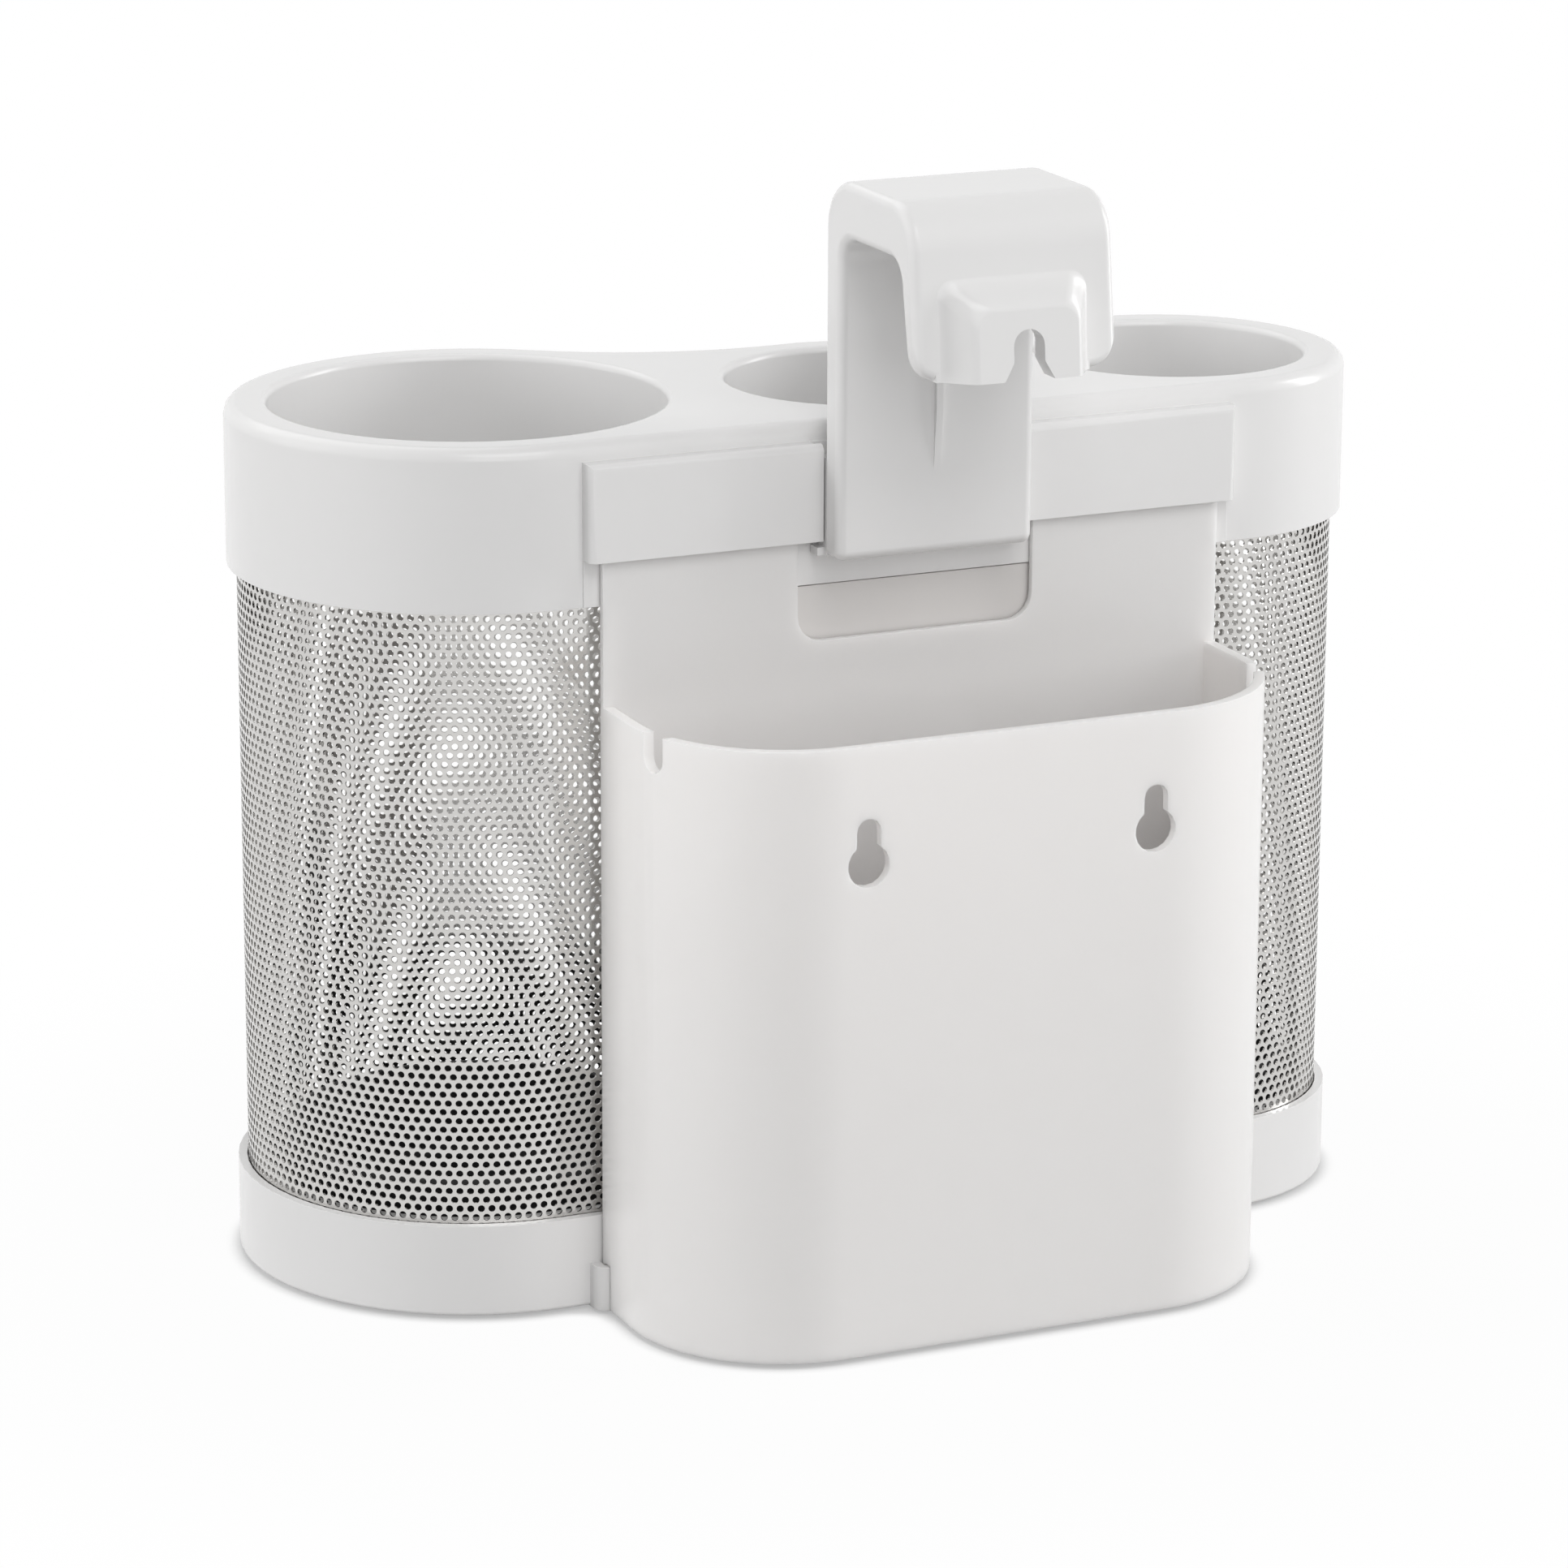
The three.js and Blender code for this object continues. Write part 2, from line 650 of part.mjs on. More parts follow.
// Outline of the hook seen from the side, as an upside-down U with a lip that leans outward
function hookProfile() {
  const quarter = Math.PI / 2;
  const outer = hookOuterRound;
  const inner = hookInnerRound;
  const tip = Math.max(lipTipRound, hookEdgeRound + clearance);
  const foot = Math.max(legFootRound, hookEdgeRound + clearance);
  const tipInnerY = lipInnerY + lipLean;
  const tipOuterY = lipOuterY + lipLean;
  return [
    new THREE.Vector2(hookBackY, legLow),
    ...arcPoints(legFaceY - foot, legLow + foot, foot, -quarter, 0),
    ...arcPoints(legFaceY + inner, archUnderside - inner, inner, 2 * quarter, quarter),
    ...arcPoints(lipInnerY - inner, archUnderside - inner, inner, quarter, 0),
    ...arcPoints(tipInnerY + tip, lipLow + tip, tip, 2 * quarter, 3 * quarter),
    ...arcPoints(tipOuterY - tip, lipLow + tip, tip, 3 * quarter, 4 * quarter),
    ...arcPoints(lipOuterY - outer, lipTop, outer, 0, quarter),
    ...arcPoints(hookBackY + outer, lipTop, outer, quarter, 2 * quarter),
  ];
}

// What is cut away to round the lower corners of the hook's lip and to level its boss
function lipCornerCutter() {
  const wide = hookHalf + overcut;
  const square = [0, 0, 0, 0];
  const rounded = [lipCorner, lipCorner, 0, 0];
  const around = roundedRectangle(rearX - wide, lipLow - 2 * overcut, rearX + wide, hookTop, square);
  const kept = roundedRectangle(rearX - hookHalf, lipLow, rearX + hookHalf, hookTop + overcut, rounded);
  const from = lipInnerY - hookGap / 2;
  const to = bossFaceY + overcut;
  return prismY(around, from, to).subtract(prismY(kept, from - overcut, to + overcut));
}

// Boss on the hook's lip: its sides and its top rise from the lip in a soft double curve
function lipBoss() {
  const rings = Array.from({ length: bossSteps + 1 }, (_, i) => {
    const share = 1 - i / bossSteps;
    const half = bossWidth / 2 - bossSideRamp * share;
    const high = lipLow + bossHeight - bossTopRamp * share;
    const low = lipLow - overcut;
    const radii = [0, 0, bossCorner, bossCorner];
    const points = roundedRectangle(bossX - half, low, bossX + half, high, radii);
    return { points, z: -bossProud * share * share * (3 - 2 * share) };
  });
  rings.push({ points: rings[bossSteps].points, z: hookLip / 2 });
  const lean = lipLean / (lipTop - lipLow);
  const sheared = new THREE.Matrix4();
  sheared.set(1, 0, 0, 0, 0, 1, -lean, lipOuterY + lean * lipTop, 0, 0, 1, 0, 0, 0, 0, 1);
  return toSolid(loft(rings).rotateX(Math.PI / 2).applyMatrix4(sheared));
}

// Pocket behind the boss, open towards the leg and downward
function lipPocket() {
  const half = pocketWidth / 2;
  const radii = [0, 0, pocketCorner, pocketCorner];
  const high = lipLow + pocketHeight;
  const outline = roundedRectangle(bossX - half, lipLow - overcut, bossX + half, high, radii);
  return prismY(outline, lipInnerY - overcut, bossFaceY - pocketWall);
}

// Bell-mouthed notch through the lip and its boss
function lipNotch() {
  const half = notchWidth / 2;
  const mouth = notchMouth / 2;
  const outline = [
    new THREE.Vector2(bossX - mouth, lipLow - overcut),
    new THREE.Vector2(bossX + mouth, lipLow - overcut),
    new THREE.Vector2(bossX + mouth, lipLow),
    new THREE.Vector2(bossX + half, lipLow + notchFlare),
    ...arcPoints(bossX, lipLow + notchHeight - half, half, 0, Math.PI),
    new THREE.Vector2(bossX - half, lipLow + notchFlare),
    new THREE.Vector2(bossX - mouth, lipLow),
  ];
  return prismY(outline, lipInnerY - overcut, bossFaceY + overcut);
}

// Grip rib on the leg, fading out at its lower end
function legRib() {
  const root = legFaceY - hookLeg / 2;
  const face = legFaceY + ribProud;
  const low = archUnderside - ribDrop;
  const high = archUnderside + weld;
  const outline = [
    new THREE.Vector2(root, low),
    new THREE.Vector2(legFaceY, low),
    new THREE.Vector2(face, low + ribTaper),
    new THREE.Vector2(face, high),
    new THREE.Vector2(root, high),
  ];
  return prismX(outline, rearX, ribWidth);
}

function makeHook() {
  let body = prismX(hookProfile(), rearX, hookWidth, hookEdgeRound);
  body = body.add(lipBoss()).subtract(lipCornerCutter());
  body = body.subtract(lipPocket()).subtract(lipNotch()).add(legRib());

  // Neck and flange in the slot of the bar, and the tabs that catch below the bar
  const neckHalf = hookHalf - 2 * clearance;
  const flangeBack = padY + clearance;
  const flangeFront = barInnerY - clearance;
  const neckFrom = [rearX - neckHalf, flangeBack, legLow];
  const flangeFrom = [rearX - flangeHalf, flangeBack, barBottom + clearance];
  const tabFrom = [rearX - flangeHalf, flangeBack, legLow];
  body = body.add(boxBetween(neckFrom, [rearX + neckHalf, hookBackY + weld, flangeTop]));
  body = body.add(boxBetween(flangeFrom, [rearX + flangeHalf, flangeFront, flangeTop]));
  return body.add(boxBetween(tabFrom, [rearX + flangeHalf, barFaceY, legLow + footTabHeight]));
}

// Open cup with a rounded foot and a small bead at its rim
function makeCup(lobe) {
  const outer = lobe.hole - slidingClearance;
  const wall = outer - cupRimBead;
  const inner = wall - cupWall;
  const low = floorTop + clearance;
  const high = low + cupHeight;
  const round = cupBottomRound;
  const foot = arcPoints(wall - round, low + round, round, -Math.PI / 2, 0).map((p) => [p.x, p.y]);
  const profile = [
    [0, low],
    ...foot,
    [wall, high - 3 * cupRimBead],
    [outer, high - 2 * cupRimBead],
    [outer, high - cupRimBead],
    [outer - cupRimBead, high],
    [inner, high],
    [inner, low + cupFloor],
    [0, low + cupFloor],
  ];
  return turned(profile, lobe.x, lobe.y, cupSegments);
}

// Finishes
const whitePlastic = { color: 0xe9e8e7, roughness: 0.28, metalness: 0 };
const binPlastic = { color: 0xe6e4e2, roughness: 0.32, metalness: 0 };
const stainless = { color: 0xb9b6b2, roughness: 0.22, metalness: 1 };
const steel = { color: 0x9a9a98, roughness: 0.35, metalness: 1 };
const silicone = { color: 0x18181a, roughness: 0.75, metalness: 0 };
const rubber = { color: 0x5c5c5e, roughness: 0.85, metalness: 0 };

const holder = new THREE.Group();
holder.add(makePiece("top_housing", makeHousing(), whitePlastic));
holder.add(makePiece("perforated_sleeve", makeSleeve(), stainless));
holder.add(makePiece("base_tray", makeBase(), whitePlastic));
holder.add(makePiece("rear_spine", makeSpine(), whitePlastic));
holder.add(makePiece("cord_bin", makeBin(), binPlastic));
holder.add(makePiece("hanging_hook", makeHook(), whitePlastic));
for (const [size, lobe] of Object.entries(lobes)) {
  holder.add(makePiece(`heat_cup_${size}`, makeCup(lobe), silicone));
}
for (const place of screwPlaces) holder.add(makePiece(place.name, makeScrew(place), steel));
for (const place of footPlaces) {
  holder.add(makePiece(place.name, footDisc(place, footRadius, footHeight), rubber));
}

export default holder;
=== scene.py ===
"""Finishes and fine forms of a holder for hair styling tools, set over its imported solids."""

import logging
import math
from collections.abc import Sequence
from dataclasses import dataclass, field
from enum import Enum

import bmesh
import bpy
from bmesh.types import BMesh, BMVert
from bpy.types import ID, Material, Mesh, NodeSocket, NodeTree, Object
from mathutils import Matrix, Vector


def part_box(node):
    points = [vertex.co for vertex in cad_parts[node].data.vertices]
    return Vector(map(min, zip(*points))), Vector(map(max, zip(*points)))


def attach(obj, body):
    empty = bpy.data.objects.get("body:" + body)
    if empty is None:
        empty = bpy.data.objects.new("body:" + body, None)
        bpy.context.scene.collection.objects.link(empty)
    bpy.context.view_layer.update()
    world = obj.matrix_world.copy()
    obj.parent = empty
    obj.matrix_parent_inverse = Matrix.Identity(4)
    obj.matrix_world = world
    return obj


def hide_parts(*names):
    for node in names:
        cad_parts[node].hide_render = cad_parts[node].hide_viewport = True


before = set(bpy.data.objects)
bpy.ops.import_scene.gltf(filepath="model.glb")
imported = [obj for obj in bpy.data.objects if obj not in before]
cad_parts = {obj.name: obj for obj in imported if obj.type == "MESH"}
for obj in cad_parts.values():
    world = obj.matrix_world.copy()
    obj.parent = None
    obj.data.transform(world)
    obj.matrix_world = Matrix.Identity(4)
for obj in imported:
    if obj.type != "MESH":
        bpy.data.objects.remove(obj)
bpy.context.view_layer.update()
log = logging.getLogger("holder")

Point2 = tuple[float, float]
Point3 = tuple[float, float, float]
Colour = tuple[float, float, float, float]

MM = 0.001
WHITE: Colour = (1.0, 1.0, 1.0, 1.0)
# Points nearer than this are one, before and after the edges are eased
WELD = 0.003 * MM
FINE_WELD = 0.0005 * MM
# Faces that turn less than this against each other are one
FLAT = math.radians(0.4)
# Area over perimeter of a face that is too narrow for an eased edge
SLIVER = 0.005 * MM
# Faces across an eased edge, and the least turn of an edge that is eased
EASE_STEPS = 3
CREASE = math.radians(38.0)
# Least turn, in degrees, of an edge that looks sharp after the easing
SHARP = 45.0


class Slot(Enum):
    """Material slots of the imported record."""

    WHITE = "white_plastic"
    BIN = "bin_plastic"
    SHEET = "stainless_sheet"
    CUP = "black_silicone"
    FOOT = "foot_rubber"


class Body(Enum):
    """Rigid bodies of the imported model."""

    HOLDER = "holder"
    HOOK = "hook"
    CUP_LARGE = "cup_large"
    CUP_MIDDLE = "cup_middle"
    CUP_SMALL = "cup_small"


class Value:
    """An output socket that can be used in Python sums."""

    def __init__(self, graph: "NodeGraph", socket: NodeSocket) -> None:
        """Keeps the socket and the graph that it belongs to."""
        self.graph = graph
        self.socket = socket

    def output(self, name: str | int) -> "Value":
        """Another output of the same node."""
        return Value(self.graph, self.socket.node.outputs[name])

    def maths(self, operation: str, first: "Value | float", second: "Value | float") -> "Value":
        """Adds one Math node and returns its result."""
        return self.graph.node("ShaderNodeMath", {"operation": operation}, {0: first, 1: second})

    def __add__(self, other: "Value | float") -> "Value":
        """This plus other."""
        return self.maths("ADD", self, other)

    def __radd__(self, other: float) -> "Value":
        """Other plus this."""
        return self.maths("ADD", other, self)

    def __sub__(self, other: "Value | float") -> "Value":
        """This minus other."""
        return self.maths("SUBTRACT", self, other)

    def __rsub__(self, other: float) -> "Value":
        """Other minus this."""
        return self.maths("SUBTRACT", other, self)

    def __mul__(self, other: "Value | float") -> "Value":
        """This times other."""
        return self.maths("MULTIPLY", self, other)

    def __rmul__(self, other: float) -> "Value":
        """Other times this."""
        return self.maths("MULTIPLY", other, self)

    def __truediv__(self, other: "Value | float") -> "Value":
        """This divided by other."""
        return self.maths("DIVIDE", self, other)

    def __mod__(self, other: "Value | float") -> "Value":
        """This modulo other."""
        return self.maths("MODULO", self, other)

    def above(self, level: float) -> "Value":
        """One where this is greater than a level, and zero elsewhere."""
        return self.maths("GREATER_THAN", self, level)

    def floored(self) -> "Value":
        """The whole number below this."""
        return self.maths("FLOOR", self, 0.0)


Input = Value | float | int | bool | str | Sequence[float] | ID


class NodeGraph:
    """A node tree that is filled from Python."""

    def __init__(self, tree: NodeTree) -> None:
        """Starts from an empty tree."""
        self.tree = tree
        self.tree.nodes.clear()

    def node(
        self,
        kind: str,
        settings: dict[str, object] | None = None,
        sockets: dict[str | int, Input] | None = None,
        output: str | int = 0,
    ) -> Value | None:
        """Adds a node.

        Args:
            kind: The node's type.
            settings: Its properties, which are set first.
            sockets: Values or links of its inputs, by name or place.
            output: The output that is returned.

        Returns:
            The chosen output, or None for a node without outputs.
        """
        made = self.tree.nodes.new(kind)
        for name, value in (settings or {}).items():
            setattr(made, name, value)
        for key, value in (sockets or {}).items():
            targets = value if isinstance(value, list) else [value]
            for source in targets:
                if isinstance(source, Value):
                    self.tree.links.new(source.socket, made.inputs[key])
                else:
                    made.inputs[key].default_value = source
        return Value(self, made.outputs[output]) if len(made.outputs) else None


class ShaderGraph(NodeGraph):
    """A material's node tree with the steps that the finishes share."""

    def __init__(self, name: str) -> None:
        """Makes a material and empties its tree.

        Args:
            name: The material's name.
        """
        self.material = bpy.data.materials.new(name)
        self.material.use_nodes = True
        super().__init__(self.material.node_tree)
        self.place = self.node("ShaderNodeTexCoord", output="Object")

    def noise(self, scale: float, detail: float = 2.0, stretch: Sequence[float] | None = None) -> Value:
        """Adds noise on the object's own coordinates.

        Args:
            scale: Features per metre.
            detail: Octaves of the noise.
            stretch: Scale along each axis, where the noise has a grain.

        Returns:
            The noise, around one half.
        """
        vector = self.place
        if stretch is not None:
            vector = self.node("ShaderNodeMapping", None, {"Vector": vector, "Scale": stretch})
        sockets = {"Vector": vector, "Scale": scale, "Detail": detail}
        return self.node("ShaderNodeTexNoise", None, sockets, "Fac")

    def mix(self, factor: Value, first: Input, second: Input) -> Value:
        """Mixes two colours by a factor."""
        settings = {"data_type": "RGBA"}
        return self.node("ShaderNodeMix", settings, {0: factor, 6: first, 7: second}, 2)

    def bump(self, height: Value, strength: float, distance: float) -> Value:
        """Turns a height into a normal."""
        sockets = {"Height": height, "Strength": strength, "Distance": distance}
        return self.node("ShaderNodeBump", None, sockets)

    def finish(self, shader: Value) -> Material:
        """Links the shader to the output and returns the material."""
        self.node("ShaderNodeOutputMaterial", None, {"Surface": shader})
        return self.material


@dataclass(frozen=True)
class MouldedPlastic:
    """Glossy injection-moulded plastic with slight flow marks and fine surface grain."""

    name: str
    colour: Colour
    shade: Colour
    roughness: float = 0.24
    depth: float = 0.0
    ior: float = 1.49
    flow_scale: float = 14.0
    flow_stretch: Point3 = (1.0, 1.0, 0.35)
    flow_share: float = 0.7
    cloud_scale: float = 60.0
    uneven: Point2 = (0.07, 0.05)
    grain_scale: float = 900.0
    grain: float = 0.012
    grain_height: float = 0.2 * MM

    def make(self) -> Material:
        """Builds the material, which light enters where it has a depth.

        Returns:
            A glossy material with flow marks.
        """
        graph = ShaderGraph(self.name)
        flow = graph.noise(self.flow_scale, detail=3.0, stretch=self.flow_stretch)
        cloud = graph.noise(self.cloud_scale)
        blend = flow * self.flow_share + cloud * (1.0 - self.flow_share)
        colour = graph.mix(blend, self.colour, self.shade)
        roughness = self.roughness + (cloud - 0.5) * self.uneven[0] + (flow - 0.5) * self.uneven[1]
        normal = graph.bump(graph.noise(self.grain_scale, detail=1.0), self.grain, self.grain_height)
        sockets = {"Base Color": colour, "Roughness": roughness, "Normal": normal, "IOR": self.ior}
        if self.depth:
            sockets |= {"Subsurface Weight": 1.0, "Subsurface Scale": self.depth}
            sockets["Subsurface Radius"] = (1.0, 1.0, 1.0)
        return graph.finish(graph.node("ShaderNodeBsdfPrincipled", None, sockets))


@dataclass(frozen=True)
class RolledSheet:
    """Bright rolled stainless sheet with fine lines along its length."""

    name: str
    colour: Colour
    shade: Colour
    roughness: float = 0.15
    line_stretch: Point3 = (60.0, 60.0, 2600.0)
    line_share: float = 0.4
    line_bump: float = 0.02
    line_height: float = 0.1 * MM
    patch_scale: float = 35.0
    uneven: Point2 = (0.1, 0.06)

    def make(self) -> Material:
        """Builds the material of lines and broad patches.

        Returns:
            A bright metal.
        """
        graph = ShaderGraph(self.name)
        lines = graph.noise(1.0, detail=3.0, stretch=self.line_stretch)
        patch = graph.noise(self.patch_scale)
        blend = patch * (1.0 - self.line_share) + lines * self.line_share
        colour = graph.mix(blend, self.colour, self.shade)
        roughness = self.roughness + (lines - 0.5) * self.uneven[0] + (patch - 0.5) * self.uneven[1]
        normal = graph.bump(lines, self.line_bump, self.line_height)
        sockets = {"Base Color": colour, "Metallic": 1.0, "Roughness": roughness, "Normal": normal}
        return graph.finish(graph.node("ShaderNodeBsdfPrincipled", None, sockets))


@dataclass(frozen=True)
class MattRubber:
    """Matt silicone or rubber with a dry bloom and a fine grain."""

    name: str
    colour: Colour
    bloom: Colour
    roughness: float = 0.62
    bloom_scale: float = 45.0
    bloom_share: float = 0.6
    uneven: float = 0.14
    grain_scale: float = 1800.0
    grain: float = 0.08
    grain_height: float = 0.2 * MM

    def make(self) -> Material:
        """Builds the material of bloom and grain.

        Returns:
            A matt material.
        """
        graph = ShaderGraph(self.name)
        bloom = graph.noise(self.bloom_scale, detail=4.0)
        grain = graph.noise(self.grain_scale)
        blend = bloom * self.bloom_share + grain * (1.0 - self.bloom_share)
        colour = graph.mix(blend, self.colour, self.bloom)
        roughness = self.roughness + (bloom - 0.5) * self.uneven
        normal = graph.bump(grain, self.grain, self.grain_height)
        sockets = {"Base Color": colour, "Roughness": roughness, "Normal": normal}
        return graph.finish(graph.node("ShaderNodeBsdfPrincipled", None, sockets))


FINISHES = (
    MouldedPlastic("glossy_white_plastic", (0.84, 0.835, 0.832, 1), (0.82, 0.815, 0.811, 1)),
    MouldedPlastic("bin_white_plastic", (0.93, 0.906, 0.893, 1), (0.915, 0.891, 0.878, 1), depth=3 * MM),
    # Darker copy of the white plastic for the spine: painted shade in the window's recess under the hook
    # and the bar
    MouldedPlastic("spine_plastic_painted_shade", (0.75, 0.73, 0.715, 1), (0.73, 0.71, 0.695, 1), roughness=0.3),
    RolledSheet("bright_rolled_steel", (0.66, 0.65, 0.635, 1), (0.6, 0.59, 0.575, 1)),
    RolledSheet("screw_steel", (0.5, 0.5, 0.49, 1), (0.42, 0.42, 0.41, 1), roughness=0.32),
    MattRubber("black_silicone", (0.012, 0.012, 0.013, 1), (0.02, 0.02, 0.021, 1)),
    MattRubber("grey_rubber", (0.1, 0.1, 0.105, 1), (0.14, 0.14, 0.145, 1), roughness=0.75),
)


def new_piece(name: str, mesh: Mesh) -> Object:
    """Links a mesh to the scene as an object at the origin.

    Args:
        name: The piece's name.
        mesh: Its mesh.

    Returns:
        The new object.
    """
    piece = bpy.data.objects.new(name, mesh)
    bpy.context.scene.collection.objects.link(piece)
    return piece


def keep(shape: BMesh, mesh: Mesh) -> None:
    """Writes a shape to a mesh and lets the shape go."""
    shape.to_mesh(mesh)
    shape.free()


def shaped_piece(name: str, shape: BMesh) -> Object:
    """Makes a piece of a shape, which is used up.

    Args:
        name: The piece's name.
        shape: Its form.

    Returns:
        The new object.
    """
    mesh = bpy.data.meshes.new(name)
    keep(shape, mesh)
    return new_piece(name, mesh)


def bake_modifiers(piece: Object) -> None:
    """Turns a piece and its modifiers into one plain mesh.

    Args:
        piece: The piece, which gets the new mesh.
    """
    evaluated = piece.evaluated_get(bpy.context.evaluated_depsgraph_get())
    mesh = bpy.data.meshes.new_from_object(evaluated)
    mesh.name = piece.name
    piece.modifiers.clear()
    piece.data = mesh


def smooth(mesh: Mesh, angle: float = 40.0) -> None:
    """Shades a mesh smooth, with sharp edges above an angle in degrees."""
    mesh.shade_smooth()
    mesh.set_sharp_from_angle(angle=math.radians(angle))


def cleaned(mesh: Mesh, least: float) -> BMesh:
    """Reads a mesh without its double points and its faces of no size.

    Args:
        mesh: The mesh to read.
        least: Least distance between two points.

    Returns:
        The cleaned shape.
    """
    shape = bmesh.new()
    shape.from_mesh(mesh)
    bmesh.ops.remove_doubles(shape, verts=shape.verts, dist=least)
    bmesh.ops.dissolve_degenerate(shape, edges=shape.edges, dist=least)
    return shape


def ease_edges(piece: Object, width: float) -> None:
    """Rounds the sharp edges of a piece and evens its shading.

    Args:
        piece: A closed piece.
        width: Width of the rounding.
    """
    shape = cleaned(piece.data, WELD)
    bmesh.ops.dissolve_limit(shape, angle_limit=FLAT, verts=shape.verts, edges=shape.edges)
    shape.normal_update()
    weight = shape.edges.layers.float.new("bevel_weight_edge")
    for edge in shape.edges:
        broad = all(face.calc_area() > SLIVER * face.calc_perimeter() for face in edge.link_faces)
        if broad and edge.calc_face_angle(0.0) > CREASE:
            edge[weight] = 1.0
    keep(shape, piece.data)
    bevel = piece.modifiers.new("eased_edges", "BEVEL")
    bevel.width = width
    bevel.segments = EASE_STEPS
    bevel.limit_method = "WEIGHT"
    bevel.miter_outer = "MITER_ARC"
    bake_modifiers(piece)
    keep(cleaned(piece.data, FINE_WELD), piece.data)
    smooth(piece.data, SHARP)
    weighted = piece.modifiers.new("even_shading", "WEIGHTED_NORMAL")
    weighted.keep_sharp = True
    bake_modifiers(piece)


def change(piece: Object, tool: BMesh, operation: str) -> None:
    """Adds a form to a piece or cuts it away.

    Args:
        piece: The piece that changes.
        tool: The other form, which is used up.
        operation: The boolean modifier's operation.
    """
    other = shaped_piece("tool", tool)
    modifier = piece.modifiers.new("form", "BOOLEAN")
    modifier.operation = operation
    modifier.solver = "EXACT"
    modifier.object = other
    bake_modifiers(piece)
    bpy.data.objects.remove(other)


def dress(piece: Object, material: Material, slot: Slot, body: Body, *nodes: str) -> None:
    """Gives a piece its finish and its place in the model.

    Args:
        piece: The finished piece.
        material: Its material.
        slot: The record's slot for it; not used.
        body: The body that it moves with.
        nodes: The solids that it stands for.
    """
    piece.data.materials.clear()
    piece.data.materials.append(material)
    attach(piece, body.value)
    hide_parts(*nodes)
    log.info("%s: %d faces", piece.name, len(piece.data.polygons))


def lathe(profile: Sequence[Point2], centre: Point2, segments: int) -> BMesh:
    """Turns a closed profile about a vertical axis.

    Args:
        profile: Radius and height of each point, from the axis round to the axis.
        centre: The axis in plan.
        segments: Steps round the axis.

    Returns:
        A closed mesh.
    """
    shape = bmesh.new()
    rings: list[list[BMVert]] = []
    for radius, height in profile:
        circle = arc(centre, radius, 0, 360, segments)[:-1] if radius else [centre]
        rings.append([shape.verts.new((*point, height)) for point in circle])
    for lower, upper in zip(rings, rings[1:]):
        for step in range(segments):
            after = (step + 1) % segments
            corners = [lower[step % len(lower)], lower[after % len(lower)]]
            corners += [upper[after % len(upper)], upper[step % len(upper)]]
            shape.faces.new(list(dict.fromkeys(corners)))
    bmesh.ops.recalc_face_normals(shape, faces=shape.faces)
    return shape


def arc(centre: Point2, radius: float, start: float, end: float, steps: int) -> list[Point2]:
    """Points on an arc, with both ends; angles are in degrees."""
    angles = [math.radians(start + (end - start) * i / steps) for i in range(steps + 1)]
    return [(centre[0] + radius * math.cos(a), centre[1] + radius * math.sin(a)) for a in angles]


def loft(rings: Sequence[Sequence[Vector]]) -> BMesh:
    """Joins closed outlines of the same length into a closed mesh.

    Args:
        rings: Outlines in order, from one end to the other.

    Returns:
        A closed mesh with both ends filled.
    """
    shape = bmesh.new()
    levels = [[shape.verts.new(point) for point in ring] for ring in rings]
    count = len(levels[0])
    for lower, upper in zip(levels, levels[1:]):
        for i in range(count):
            after = (i + 1) % count
            shape.faces.new((lower[i], lower[after], upper[after], upper[i]))
    for ring in (levels[0], levels[-1]):
        shape.faces.new(ring)
    bmesh.ops.recalc_face_normals(shape, faces=shape.faces)
    return shape


def arch_outline(low: Point2, high: Point2, radius: float, steps: int) -> list[Point2]:
    """A rectangle between two corners whose upper corners are round.

    Args:
        low: The lower left corner.
        high: The upper right corner.
        radius: Radius of the upper corners.
        steps: Steps on each of them.

    Returns:
        Points of the outline, counter-clockwise.
    """
    right = arc((high[0] - radius, high[1] - radius), radius, 0, 90, steps)
    left = arc((low[0] + radius, high[1] - radius), radius, 90, 180, steps)
    return [low, (high[0], low[1]), *right, *left]


def upright_prism(outline: Sequence[Point2], front: float, back: float) -> BMesh:
    """A prism along Y over an outline in X and Z."""
    return loft([[Vector((x, y, z)) for x, z in outline] for y in (front, back)])


def block(low: Sequence[float], high: Sequence[float]) -> BMesh:
    """A box between two corners."""
    outline = [(low[0], low[2]), (high[0], low[2]), (high[0], high[2]), (low[0], high[2])]
    return upright_prism(outline, low[1], high[1])


@dataclass(frozen=True)
class Lobe:
    """One round compartment in plan."""

    name: str
    centre: Point2
    hole: float
    body: Body


